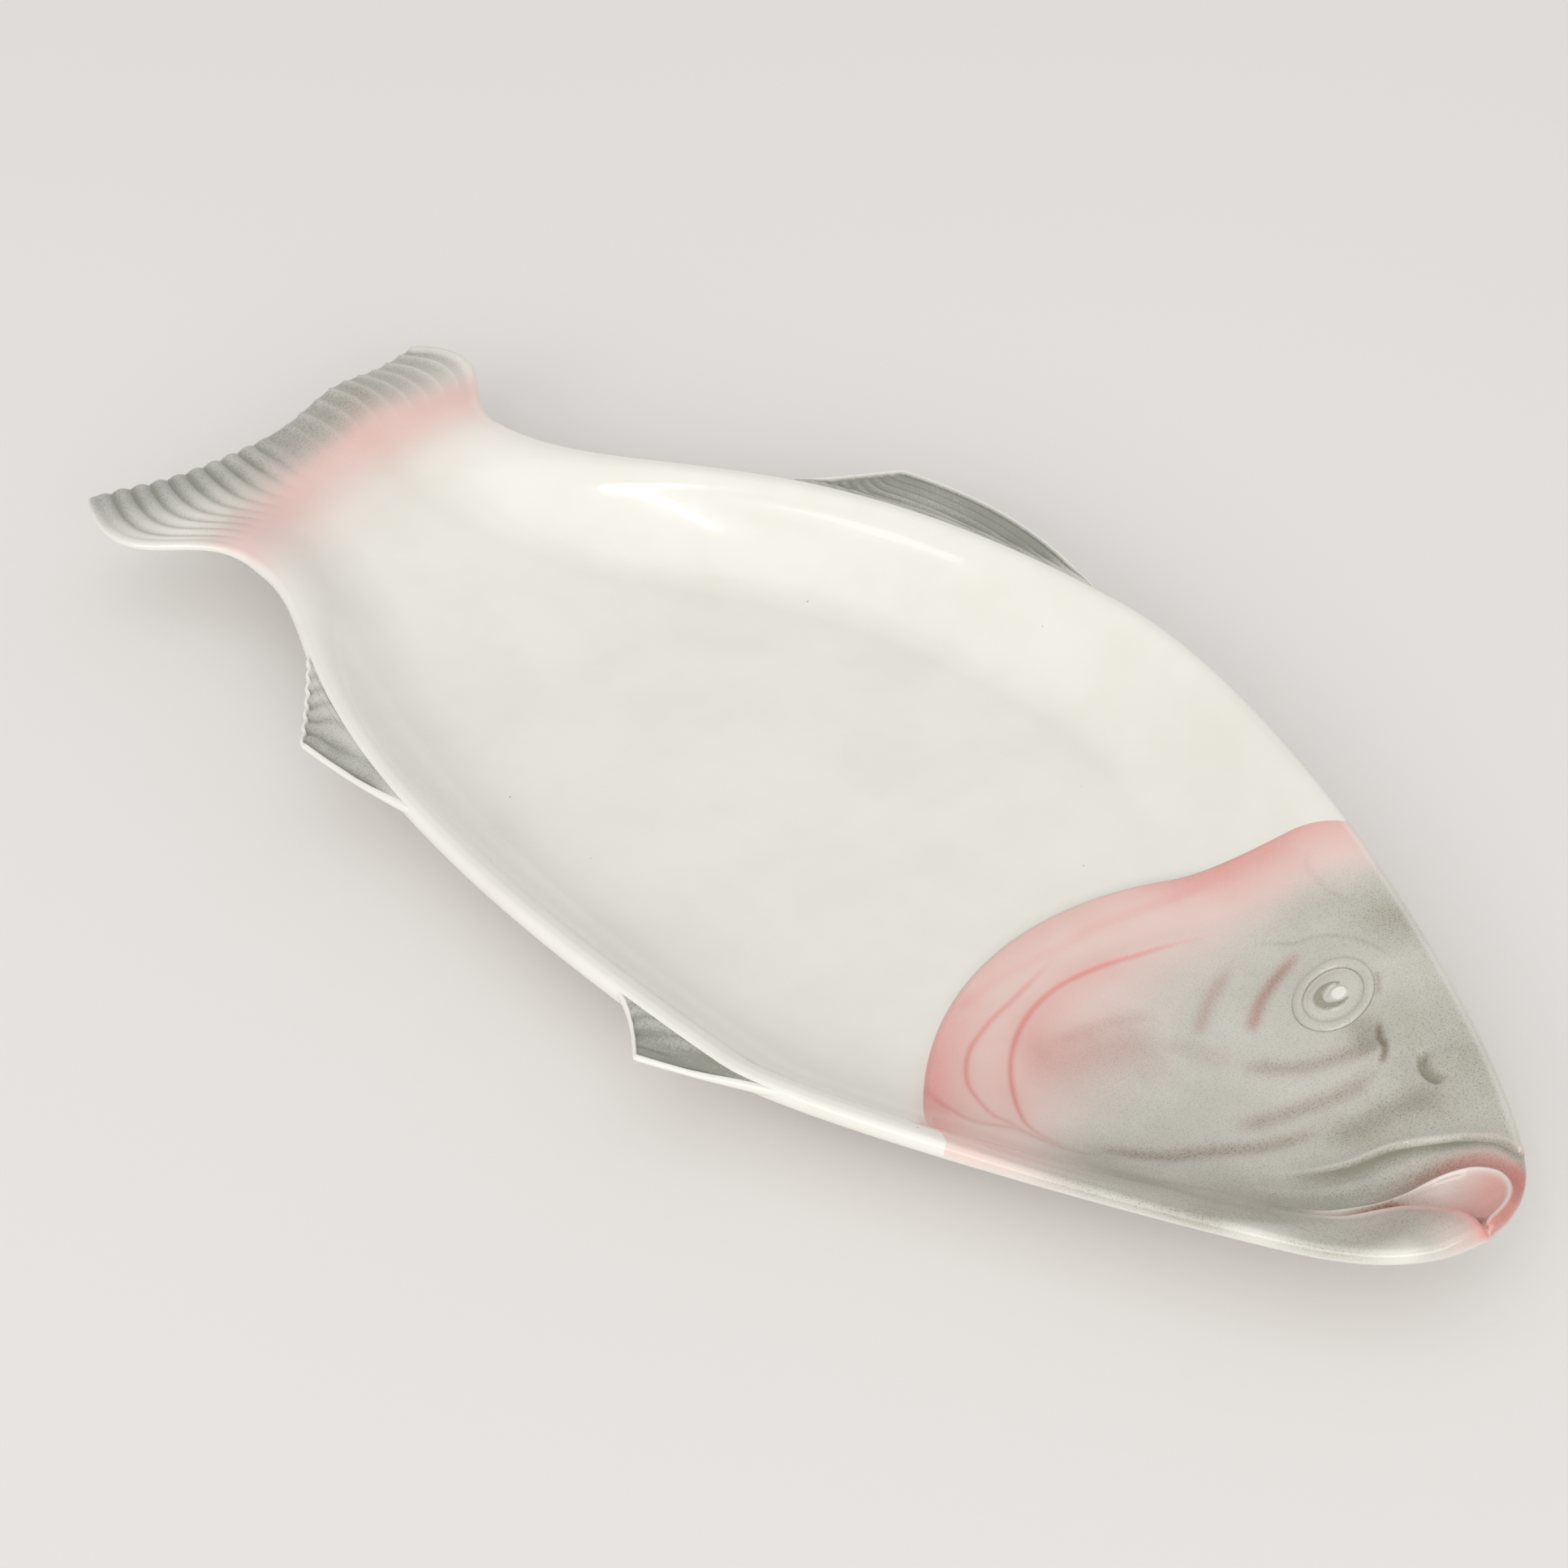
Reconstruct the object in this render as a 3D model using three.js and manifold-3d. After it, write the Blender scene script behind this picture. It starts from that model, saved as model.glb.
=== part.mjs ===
// Fish-shaped serving platter in glazed earthenware.
// Millimetres, +Z up, +X towards the snout, +Y towards the fish's back, standing on Z = 0.
// The dished body, head, tail, fins, lips, eye and foot are the clay parts that a pottery joins
// with slip before firing, and a slip joint is a narrow gap between two parts.
import * as THREE from 'three';
import { mergeVertices } from 'three/addons/utils/BufferGeometryUtils.js';
import Module from 'manifold-3d';

const wasm = await Module();
wasm.setup();

// A place in plan
const at = (x, y) => new THREE.Vector2(x, y);

// Thicknesses and heights
const FOOT_HEIGHT = 8;            // table to the underside of the well
const SHELL_THICKNESS = 6;        // clay wall of body, head and tail
const WELL_DEPTH = 28;            // crest of the rim down to the floor of the well
const LIP_REACH = 3;              // rounded lip, out past the crest of the rim
const LIP_THICKNESS = 6.5;        // rounded lip, top to bottom
const SLIP_GAP = 0.3;             // joint between two clay parts
const FLOOR_HEIGHT = FOOT_HEIGHT + SHELL_THICKNESS;
const RIM_HEIGHT = FLOOR_HEIGHT + WELL_DEPTH;

// Inside walls of the dish
const BACK_WALL = 44;             // plan width of the wall along the back
const BELLY_WALL = 42;            // plan width of the wall along the belly
const BROW_WALL = 26;             // added to the back wall where it widens into the forehead
const BROW_WALL_START = 60;
const BROW_WALL_END = 190;
const SNOUT_WALL = 34;            // taken off again where the forehead meets the snout
const SNOUT_WALL_START = 215;
const SNOUT_WALL_END = 285;
const WALL_OVERSHOOT = 8;         // the wall's parabola aims this far above the crest
const WALL_BLEND = 4;             // power mean that joins two walls where they meet
const CREST_ROLL = 6;             // height over which the wall rolls into the crest
const HEAD_ROLL = 8;              // the crest is rounder by this much on the head
const HEAD_ROLL_START = 125;
const HEAD_ROLL_END = 190;

// The floor climbs to the tail and to the snout
const TAIL_DISH = 3;              // floor of the tail below the crest
const TAIL_CLIMB_START = -110;
const TAIL_CLIMB_END = -280;
const HEAD_CLIMB = 12;            // floor of the snout above the floor of the well
const HEAD_CLIMB_START = 110;
const HEAD_CLIMB_END = 300;

// Crest line of the rim in plan: level at the waist, at the top of the back and under the belly
const WAIST_X = -227;
const WAIST_BACK = 59.3;
const WAIST_BELLY = 62;
const BACK_X = 24;
const BACK_HEIGHT = 138;
const BELLY_X = 83;
const BELLY_DEPTH = 129.5;
const BROW_X = 286;               // where the forehead turns into the upper lip
const BROW_Y = 9;
const BROW_SLOPE = -48.7;         // degrees
const CHIN_X = 260;               // where the throat turns into the chin
const CHIN_Y = -64;
const CHIN_SLOPE = 27;            // degrees
const BACK_FULLNESS = { waist: 67.5, rear: 165, front: 80, brow: 56 };
const BELLY_FULLNESS = { waist: 56.5, rear: 245, front: 28, chin: 35 };
const SNOUT_FULLNESS = { chin: 42, brow: 30 };

// Tail fin
const TAIL_TIP_BACK = { x: -289, y: 73.5 };
const TAIL_TIP_BELLY = { x: -300.5, y: -80.4 };
// Each lobe: run of its shoulder from the tip, bulge outside the tip, and run of its neck
const BACK_LOBE = { shoulder: 26.5, flare: 24, neck: 22.5 };
const BELLY_LOBE = { shoulder: 45, flare: 24.5, neck: 35.5 };
const TAIL_FORK = 17;             // pull of the trailing edge towards the body
const TAIL_CURL = 8;              // lift of the upper lobe's trailing edge
const TAIL_CURL_PLACE = 0.72;     // across the tail, from the lower tip
const TAIL_CURL_SPREAD = 0.14;
const TAIL_CURL_START = 0.2;      // along the tail, from the waist
const TAIL_RAYS = 20;
const TAIL_RAY_DEPTH = 1.8;
const TAIL_RAY_START = 0.25;      // along the tail, from the waist
const TAIL_RAY_FULL = 0.7;

// Gill edge, where the head meets the body
const GILL_BACK_X = 158;          // on the crest along the back
const GILL_BELLY_X = 157;         // on the crest along the belly
const GILL_BACK_BOW = { x: -75, y: -44 };
const GILL_BELLY_BOW = { x: -89, y: 55 };
const GILL_STEP = 1.6;            // the gill cover stands above the well
const GILL_STEP_FADE = 26;        // and fades into the cheek over this width

// Eye on the cheek
const EYE_X = 198;
const EYE_Y = 37;
const EYE_RADIUS = 14.5;
const EYE_RING_WIDTH = 4.6;
const EYE_RING_RISE = 1.9;
const EYE_RING_EDGE = 0.5;        // thickness of the ring at its two edges
const PUPIL_RADIUS = 5;
const PUPIL_RISE = 2.2;
const IRIS_RISE = 0.9;            // flat disc that the pupil stands on

// Lips, as bands along a line whose places are measured from the middle of the mouth
const UPPER_LIP = {
  start: { x: -37, y: -11 },
  bend: { x: -21, y: 24 },
  turn: { x: 18, y: 51 },
  end: { x: 17.5, y: 6.5 },
  width: 15,
  rise: 3.2,
};
const LOWER_LIP = {
  start: { x: -23, y: -21 },
  bend: { x: -9, y: -15 },
  turn: { x: 6, y: -11 },
  end: { x: 14.5, y: -3 },
  width: 12,
  rise: 2.8,
};
const LIP_EDGE = 0.8;             // thickness of a lip at its edge
const LIP_TAPER = [0.12, 0.8];    // part of a half wave that a lip swells and fades along
const SEAT_DEPTH = 2;             // how far lips and eye start below the head before it cuts them

// Fins outside the rim: from x to x along the crest, with the tip standing off from tipX,
// and bow the bulge of the long edge
const FIN_DROP = 2;               // top of a fin below the crest of the rim
const FIN_THICKNESS = 5;
const FIN_EDGE = 2;               // rounding of a fin's free edges
const FIN_ROOT = 6;               // how far a fin starts inside the crest before the rim cuts it
const FIN_FRONT = 1;              // reach of a fin's front end, inside the lip
const FIN_RAY_DEPTH = 1;
const DORSAL_FIN = { rear: -120, front: 14, tipX: -81.5, reach: 21.5, bow: 9.5, rays: 6 };
const ANAL_FIN = { rear: -176, front: -78, tipX: -126, reach: 14, bow: 1, rays: 6 };
const PELVIC_FIN = { rear: 28, front: 104, tipX: 60.5, reach: 13, bow: 0.5, rays: 5 };

// Foot ring under the well
const FOOT_X = -32;
const FOOT_Y = 3;
const FOOT_HALF_LENGTH = 120;
const FOOT_HALF_WIDTH = 66;
const FOOT_TOP_WIDTH = 9;
const FOOT_REST_WIDTH = 6;

// Facets
const LINE_POINTS = 50;           // for each span of the crest line
const HALVINGS = 40;              // to find a place on a line
const LIP_STEPS = 4;
const WALL_BUNCHING = 0.8;        // how far facets gather on the two walls
const GILL_BUNCHING = 1.35;       // power that gathers facets at the gill edge
const BODY_GRID = [18, 28];
const HEAD_GRID = [22, 28];
const TAIL_GRID = [7, TAIL_RAYS * 4];
const FIN_COLUMNS = 8;
const FIN_POINTS_PER_RAY = 3;
const LIP_GRID = [18, 8];
const EYE_SEGMENTS = 32;
const EYE_RING_STEPS = 5;
const PUPIL_STEPS = 4;
const FOOT_SEGMENTS = 56;

// Small helpers
const { smoothstep, degToRad, lerp } = THREE.MathUtils;
const fractions = (count) => Array.from({ length: count + 1 }, (_, i) => i / count);
const closerAtEnds = (t) => lerp(t, (1 - Math.cos(Math.PI * t)) / 2, WALL_BUNCHING);
const closerAtStart = (t) => t ** GILL_BUNCHING;

function heading(degrees, length) {
  const angle = degToRad(degrees);
  return at(Math.cos(angle), Math.sin(angle)).multiplyScalar(length);
}

// A curve from start to end that leaves along one handle and arrives along the other
function bend(start, leave, end, arrive) {
  return new THREE.CubicBezierCurve(start, start.clone().add(leave), end.clone().sub(arrive), end);
}

// The lower of two heights, with a round blend between them
function roundedMin(a, b, blend) {
  const share = THREE.MathUtils.clamp(0.5 + (0.5 * (b - a)) / blend, 0, 1);
  return lerp(b, a, share) - blend * share * (1 - share);
}

// Crest line, from each tail tip forward to the snout
const backWaist = at(WAIST_X, WAIST_BACK);
const bellyWaist = at(WAIST_X, -WAIST_BELLY);
const backTop = at(BACK_X, BACK_HEIGHT);
const bellyLow = at(BELLY_X, -BELLY_DEPTH);
const brow = at(BROW_X, BROW_Y);
const chin = at(CHIN_X, CHIN_Y);
const upperTip = at(TAIL_TIP_BACK.x, TAIL_TIP_BACK.y);
const lowerTip = at(TAIL_TIP_BELLY.x, TAIL_TIP_BELLY.y);
const mouth = brow.clone().lerp(chin, 0.5);

const dorsalLine = new THREE.CurvePath();
dorsalLine.add(bend(upperTip, at(BACK_LOBE.shoulder, BACK_LOBE.flare), backWaist, at(BACK_LOBE.neck, 0)));
dorsalLine.add(bend(backWaist, at(BACK_FULLNESS.waist, 0), backTop, at(BACK_FULLNESS.rear, 0)));
dorsalLine.add(bend(backTop, at(BACK_FULLNESS.front, 0), brow, heading(BROW_SLOPE, BACK_FULLNESS.brow)));

const ventralLine = new THREE.CurvePath();
ventralLine.add(bend(lowerTip, at(BELLY_LOBE.shoulder, -BELLY_LOBE.flare), bellyWaist, at(BELLY_LOBE.neck, 0)));
ventralLine.add(bend(bellyWaist, at(BELLY_FULLNESS.waist, 0), bellyLow, at(BELLY_FULLNESS.rear, 0)));
ventralLine.add(bend(bellyLow, at(BELLY_FULLNESS.front, 0), chin, heading(CHIN_SLOPE, BELLY_FULLNESS.chin)));

const snoutLine = bend(
  chin, heading(CHIN_SLOPE, SNOUT_FULLNESS.chin),
  brow, heading(BROW_SLOPE, SNOUT_FULLNESS.brow).negate(),
);
const forkPull = upperTip.clone().lerp(lowerTip, 0.5).add(at(TAIL_FORK, 0));
const forkLine = new THREE.QuadraticBezierCurve(lowerTip, forkPull, upperTip);

// Each half of the snout belongs to the wall on its own side
const snoutPoints = snoutLine.getSpacedPoints(LINE_POINTS);
const snoutMiddle = LINE_POINTS / 2;
const dorsalPoints = [
  ...dorsalLine.getSpacedPoints(3 * LINE_POINTS),
  ...snoutPoints.slice(snoutMiddle, -1).reverse(),
];
const ventralPoints = [
  ...ventralLine.getSpacedPoints(3 * LINE_POINTS),
  ...snoutPoints.slice(1, snoutMiddle + 1),
];

function distanceTo(line, x, y) {
  let nearest = Infinity;
  for (let i = 1; i < line.length; i++) {
    const a = line[i - 1];
    const dx = line[i].x - a.x;
    const dy = line[i].y - a.y;
    const along = ((x - a.x) * dx + (y - a.y) * dy) / (dx * dx + dy * dy);
    const t = THREE.MathUtils.clamp(along, 0, 1);
    nearest = Math.min(nearest, Math.hypot(x - a.x - t * dx, y - a.y - t * dy));
  }
  return nearest;
}

// Place along a crest line that has a given x, found by halving
function placeAtX(line, x) {
  let low = 0;
  let high = 1;
  for (let i = 0; i < HALVINGS; i++) {
    const middle = (low + high) / 2;
    if (line.getPointAt(middle).x < x) low = middle;
    else high = middle;
  }
  return low;
}

function stretch(line, fromX, toX) {
  const from = fromX === null ? 0 : placeAtX(line, fromX);
  const to = toX === null ? 1 : placeAtX(line, toX);
  return (t) => line.getPointAt(lerp(from, to, t));
}

function pointAtX(line, x) {
  return line.getPointAt(placeAtX(line, x));
}

// Edge of the gill cover, shifted along x so that the two sides keep the slip gap
function gillLine(shift) {
  const low = pointAtX(ventralLine, GILL_BELLY_X + shift);
  const high = pointAtX(dorsalLine, GILL_BACK_X + shift);
  const leave = at(GILL_BELLY_BOW.x, GILL_BELLY_BOW.y);
  const arrive = at(-GILL_BACK_BOW.x, -GILL_BACK_BOW.y);
  return bend(low, leave, high, arrive);
}

// Height of the platter's inside, before relief, with the slope of its wall
function dish(x, y) {
  const tailClimb = 1 - smoothstep(x, TAIL_CLIMB_END, TAIL_CLIMB_START);
  const headClimb = smoothstep(x, HEAD_CLIMB_START, HEAD_CLIMB_END);
  const floor = FLOOR_HEIGHT + (WELL_DEPTH - TAIL_DISH) * tailClimb + HEAD_CLIMB * headClimb;
  const browWidth = BROW_WALL * smoothstep(x, BROW_WALL_START, BROW_WALL_END);
  const snoutWidth = SNOUT_WALL * smoothstep(x, SNOUT_WALL_START, SNOUT_WALL_END);
  const backWidth = BACK_WALL + browWidth - snoutWidth;
  const backShare = Math.max(0, 1 - distanceTo(dorsalPoints, x, y) / backWidth);
  const bellyShare = Math.max(0, 1 - distanceTo(ventralPoints, x, y) / BELLY_WALL);
  const share = (backShare ** WALL_BLEND + bellyShare ** WALL_BLEND) ** (1 / WALL_BLEND);
  const rise = RIM_HEIGHT + WALL_OVERSHOOT - floor;
  const width = backShare > bellyShare ? backWidth : BELLY_WALL;
  return { wall: floor + rise * share ** 2, slope: (2 * rise * share) / width, share };
}

function insideHeight(x, y) {
  const roll = CREST_ROLL + HEAD_ROLL * smoothstep(x, HEAD_ROLL_START, HEAD_ROLL_END);
  return roundedMin(dish(x, y).wall, RIM_HEIGHT, roll);
}

// Underside at a clay thickness square to the wall; a cutter is thicker by the slip gap
function undersideHeight(x, y, grow = 0) {
  const { wall, slope } = dish(x, y);
  const under = wall - (SHELL_THICKNESS + grow) * Math.hypot(1, slope);
  return roundedMin(under, RIM_HEIGHT - LIP_THICKNESS - grow, CREST_ROLL);
}

const gillPoints = gillLine(0).getSpacedPoints(LINE_POINTS);

function headHeight(x, y) {
  const cover = 1 - smoothstep(distanceTo(gillPoints, x, y), 0, GILL_STEP_FADE);
  const belowRim = Math.max(0, 1 - dish(x, y).share);
  return insideHeight(x, y) + GILL_STEP * cover * belowRim;
}

// The tail's trailing edge curls up in the upper lobe; back is 1 at that edge and 0 at the waist
function tailLift(back, across) {
  const place = (across - TAIL_CURL_PLACE) / TAIL_CURL_SPREAD;
  return TAIL_CURL * Math.exp(-(place ** 2)) * smoothstep(back, TAIL_CURL_START, 1);
}

function tailGroove(back, across) {
  const scallop = 1 - Math.abs(Math.sin(Math.PI * TAIL_RAYS * across));
  const fromBorder = Math.min(across, 1 - across);
  const clearOfBorder = smoothstep(fromBorder, 0, 1 / TAIL_RAYS);
  return TAIL_RAY_DEPTH * scallop * clearOfBorder * smoothstep(back, TAIL_RAY_START, TAIL_RAY_FULL);
}

// A plan patch between four edges: low and high run along u, start and end run along v
function patch(low, high, start, end) {
  return (u, v) => {
    const ruledU = low(u).clone().lerp(high(u), v);
    const ruledV = start(v).clone().lerp(end(v), u);
    const corners = low(0).clone().lerp(low(1), u).lerp(high(0).clone().lerp(high(1), u), v);
    return ruledU.add(ruledV).sub(corners);
  };
}

// A closed shell over a plan patch. top and bottom give heights, and lips how far the rounded
// edge stands out at v = 0, u = 1, v = 1 and u = 0; a lip of zero makes a flat joint face.
function shell(plan, us, vs, top, bottom, lips) {
  const lastU = us.length - 1;
  const lastV = vs.length - 1;
  const grid = us.map((u) => vs.map((v) => plan(u, v)));
  const positions = [];
  const triangles = [];
  const quad = (a, b, c, d) => triangles.push(a, b, c, a, c, d);
  const addPoint = (x, y, z) => positions.push(x, y, z) / 3 - 1;

  const addSheet = (height) => grid.map((row, i) => row.map((p, j) => (
    addPoint(p.x, p.y, height(p.x, p.y, us[i], vs[j]))
  )));
  const tops = addSheet(top);
  const bottoms = addSheet(bottom);
  for (let i = 0; i < lastU; i++) {
    for (let j = 0; j < lastV; j++) {
      quad(tops[i][j], tops[i + 1][j], tops[i + 1][j + 1], tops[i][j + 1]);
      quad(bottoms[i][j], bottoms[i][j + 1], bottoms[i + 1][j + 1], bottoms[i + 1][j]);
    }
  }

  // The perimeter, anticlockwise from above, as four edges of grid places
  const edges = [
    us.map((_, i) => [i, 0]),
    vs.map((_, j) => [lastU, j]),
    us.map((_, i) => [lastU - i, lastV]),
    vs.map((_, j) => [0, lastV - j]),
  ];
  const runAlong = (edge, k) => {
    const [i0, j0] = edge[Math.max(0, k - 1)];
    const [i1, j1] = edge[Math.min(edge.length - 1, k + 1)];
    return grid[i1][j1].clone().sub(grid[i0][j0]).normalize();
  };
  const outward = (run) => at(run.y, -run.x);
  // At a corner two lips are mitred, and a lip beside a joint face stays in the plane of the joint
  const cornerReach = (firstRun, firstLip, secondRun, secondLip) => {
    const first = outward(firstRun);
    const second = outward(secondRun);
    if (firstLip === 0) return firstRun.multiplyScalar(secondLip / firstRun.dot(second));
    if (secondLip === 0) return secondRun.multiplyScalar(firstLip / secondRun.dot(first));
    return first.add(second).multiplyScalar(Math.min(firstLip, secondLip) / (1 + first.dot(second)));
  };
  const rings = [];
  edges.forEach((edge, e) => {
    const before = edges[(e + 3) % 4];
    const beforeLip = lips[(e + 3) % 4];
    for (let k = 0; k < edge.length - 1; k++) {
      const [i, j] = edge[k];
      let reach = outward(runAlong(edge, k)).multiplyScalar(lips[e]);
      if (k === 0) {
        reach = cornerReach(runAlong(before, before.length - 1), beforeLip, runAlong(edge, 0), lips[e]);
      }
      const high = positions[tops[i][j] * 3 + 2];
      const low = positions[bottoms[i][j] * 3 + 2];
      const ring = [tops[i][j]];
      for (let s = 1; s < LIP_STEPS; s++) {
        const angle = Math.PI * (0.5 - s / LIP_STEPS);
        const p = grid[i][j].clone().addScaledVector(reach, Math.cos(angle));
        ring.push(addPoint(p.x, p.y, (high + low) / 2 + ((high - low) / 2) * Math.sin(angle)));
      }
      ring.push(bottoms[i][j]);
      rings.push(ring);
    }
  });
  rings.forEach((ring, k) => {
    const next = rings[(k + 1) % rings.length];
    for (let s = 0; s < LIP_STEPS; s++) quad(ring[s], ring[s + 1], next[s + 1], next[s]);
  });

  const geometry = new THREE.BufferGeometry();
  geometry.setAttribute('position', new THREE.Float32BufferAttribute(positions, 3));
  geometry.setIndex(triangles);
  return geometry;
}

// Boolean cut of one closed mesh by another
function solidOf(geometry) {
  const bare = new THREE.BufferGeometry();
  bare.setAttribute('position', geometry.getAttribute('position'));
  bare.setIndex(geometry.getIndex());
  const merged = mergeVertices(bare);
  return new wasm.Manifold(new wasm.Mesh({
    numProp: 3,
    vertProperties: new Float32Array(merged.getAttribute('position').array),
    triVerts: new Uint32Array(merged.getIndex().array),
  }));
}

function cut(geometry, cutter) {
  const mesh = solidOf(geometry).subtract(solidOf(cutter)).getMesh();
  const result = new THREE.BufferGeometry();
  result.setAttribute('position', new THREE.Float32BufferAttribute(mesh.vertProperties, 3));
  result.setIndex(new THREE.Uint32BufferAttribute(mesh.triVerts, 1));
  return result;
}

// Body: the well with its walls and rim, from the waist to the gill edge
function bodyShell(grow) {
  const rearX = WAIST_X + SLIP_GAP / 2;
  const gill = gillLine(-SLIP_GAP / 2);
  const low = stretch(ventralLine, rearX, GILL_BELLY_X - SLIP_GAP / 2);
  const high = stretch(dorsalLine, rearX, GILL_BACK_X - SLIP_GAP / 2);
  const root = new THREE.LineCurve(low(0), high(0));
  const plan = patch(low, high, (v) => root.getPoint(v), (v) => gill.getPointAt(v));
  const top = (x, y) => insideHeight(x, y) + grow;
  const bottom = (x, y) => undersideHeight(x, y, grow);
  const lip = LIP_REACH + grow;
  const vs = fractions(BODY_GRID[1]).map(closerAtEnds);
  return shell(plan, fractions(BODY_GRID[0]), vs, top, bottom, [lip, 0, lip, 0]);
}

// Head: from the gill edge to the snout, with the step of the gill cover
function headShell(grow) {
  const gill = gillLine(SLIP_GAP / 2);
  const low = stretch(ventralLine, GILL_BELLY_X + SLIP_GAP / 2, null);
  const high = stretch(dorsalLine, GILL_BACK_X + SLIP_GAP / 2, null);
  const plan = patch(low, high, (v) => gill.getPointAt(v), (v) => snoutLine.getPointAt(v));
  const top = (x, y) => headHeight(x, y) + grow;
  const bottom = (x, y) => undersideHeight(x, y, grow);
  const lip = LIP_REACH + grow;
  const us = fractions(HEAD_GRID[0]).map(closerAtStart);
  const vs = fractions(HEAD_GRID[1]).map(closerAtEnds);
  return shell(plan, us, vs, top, bottom, [lip, lip, lip, 0]);
}

// What is laid on the head starts below its surface, and the head, grown by the slip gap, cuts it
const seatedOnHead = (blank) => cut(blank, headShell(SLIP_GAP));

// Tail: a fan of scalloped rays from the waist to a forked, curled trailing edge
function tailShell() {
  const rootX = WAIST_X - SLIP_GAP / 2;
  const low = stretch(ventralLine, null, rootX);
  const high = stretch(dorsalLine, null, rootX);
  const root = new THREE.LineCurve(low(1), high(1));
  const plan = patch(low, high, (v) => forkLine.getPointAt(v), (v) => root.getPoint(v));
  const top = (x, y, u, v) => insideHeight(x, y) + tailLift(1 - u, v) - tailGroove(1 - u, v);
  const bottom = (x, y, u, v) => undersideHeight(x, y) + tailLift(1 - u, v);
  const us = fractions(TAIL_GRID[0]);
  const vs = fractions(TAIL_GRID[1]);
  return shell(plan, us, vs, top, bottom, [LIP_REACH, 0, LIP_REACH, LIP_REACH]);
}

// A fin stands out from the lip. Its rays run along its long edge, from the front end to the
// rear edge, and the body, grown by the slip gap, cuts its root.
function finShell(line, side, fin) {
  const onBack = side > 0;
  const from = placeAtX(line, onBack ? fin.rear : fin.front);
  const to = placeAtX(line, onBack ? fin.front : fin.rear);
  const standOff = (place, reach) => {
    const run = line.getTangentAt(place);
    return line.getPointAt(place).add(at(-run.y, run.x).multiplyScalar(side * reach));
  };
  const tip = standOff(placeAtX(line, fin.tipX), LIP_REACH + fin.reach);
  const frontEnd = standOff(placeAtX(line, fin.front), FIN_FRONT);
  const [first, last] = onBack ? [tip, frontEnd] : [frontEnd, tip];
  const longRun = last.clone().sub(first).normalize();
  const bulge = at(-longRun.y, longRun.x).multiplyScalar(2 * fin.bow);
  const middle = first.clone().lerp(last, 0.5).add(bulge);
  const longEdge = new THREE.QuadraticBezierCurve(first, middle, last);
  const root = (t) => standOff(lerp(from, to, t), -FIN_ROOT);
  const startEdge = new THREE.LineCurve(root(0), first);
  const endEdge = new THREE.LineCurve(root(1), last);
  const plan = patch(
    root,
    (t) => longEdge.getPoint(t),
    (v) => startEdge.getPoint(v),
    (v) => endEdge.getPoint(v),
  );
  const finTop = RIM_HEIGHT - FIN_DROP;
  const top = (x, y, u, v) => {
    const scallop = 1 - Math.abs(Math.sin(Math.PI * fin.rays * v));
    return finTop - FIN_RAY_DEPTH * scallop * smoothstep(1 - v, 0, 1 / fin.rays);
  };
  const bottom = () => finTop - FIN_THICKNESS;
  const vs = fractions(fin.rays * FIN_POINTS_PER_RAY);
  const blank = shell(plan, fractions(FIN_COLUMNS), vs, top, bottom, [0, FIN_EDGE, FIN_EDGE, FIN_EDGE]);
  return cut(blank, bodyShell(SLIP_GAP));
}

// A lip is a swelling band of clay laid along a line on the head
function lipBand(lip) {
  const [start, bendAt, turn, end] = [lip.start, lip.bend, lip.turn, lip.end].map((p) => mouth.clone().add(p));
  const line = new THREE.CubicBezierCurve(start, bendAt, turn, end);
  const taper = (u) => Math.sin(Math.PI * lerp(...LIP_TAPER, u));
  const plan = (u, v) => {
    const run = line.getTangentAt(u);
    const across = (v - 0.5) * lip.width * Math.sqrt(taper(u));
    return line.getPointAt(u).add(at(-run.y, run.x).multiplyScalar(across));
  };
  const bottom = (x, y) => headHeight(x, y) - SEAT_DEPTH;
  const top = (x, y, u, v) => {
    const swell = lip.rise * Math.sin(Math.PI * v) * taper(u);
    return headHeight(x, y) + SLIP_GAP + LIP_EDGE + swell;
  };
  const us = fractions(LIP_GRID[0]);
  const vs = fractions(LIP_GRID[1]);
  return seatedOnHead(shell(plan, us, vs, top, bottom, [0, 0, 0, 0]));
}

// Eye pieces are turned profiles, laid on the cheek in the plane of its slope
const eyeSlope = (() => {
  const step = EYE_RADIUS / 2;
  const acrossX = headHeight(EYE_X + step, EYE_Y) - headHeight(EYE_X - step, EYE_Y);
  const acrossY = headHeight(EYE_X, EYE_Y + step) - headHeight(EYE_X, EYE_Y - step);
  return new THREE.Vector3(-acrossX, -acrossY, 2 * step).normalize();
})();

function laidOnCheek(profile) {
  const turned = new THREE.LatheGeometry(profile.map(([r, h]) => at(r, h)), EYE_SEGMENTS);
  turned.deleteAttribute('normal');
  turned.deleteAttribute('uv');
  turned.rotateX(Math.PI / 2);
  turned.applyQuaternion(new THREE.Quaternion().setFromUnitVectors(new THREE.Vector3(0, 0, 1), eyeSlope));
  const geometry = mergeVertices(turned);
  const position = geometry.getAttribute('position');
  for (let i = 0; i < position.count; i++) {
    const x = position.getX(i);
    const y = position.getY(i);
    const offPlane = position.getZ(i) + (x * eyeSlope.x + y * eyeSlope.y) / eyeSlope.z;
    position.setXYZ(i, EYE_X + x, EYE_Y + y, headHeight(EYE_X + x, EYE_Y + y) + SLIP_GAP + offPlane);
  }
  return seatedOnHead(geometry);
}

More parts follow.
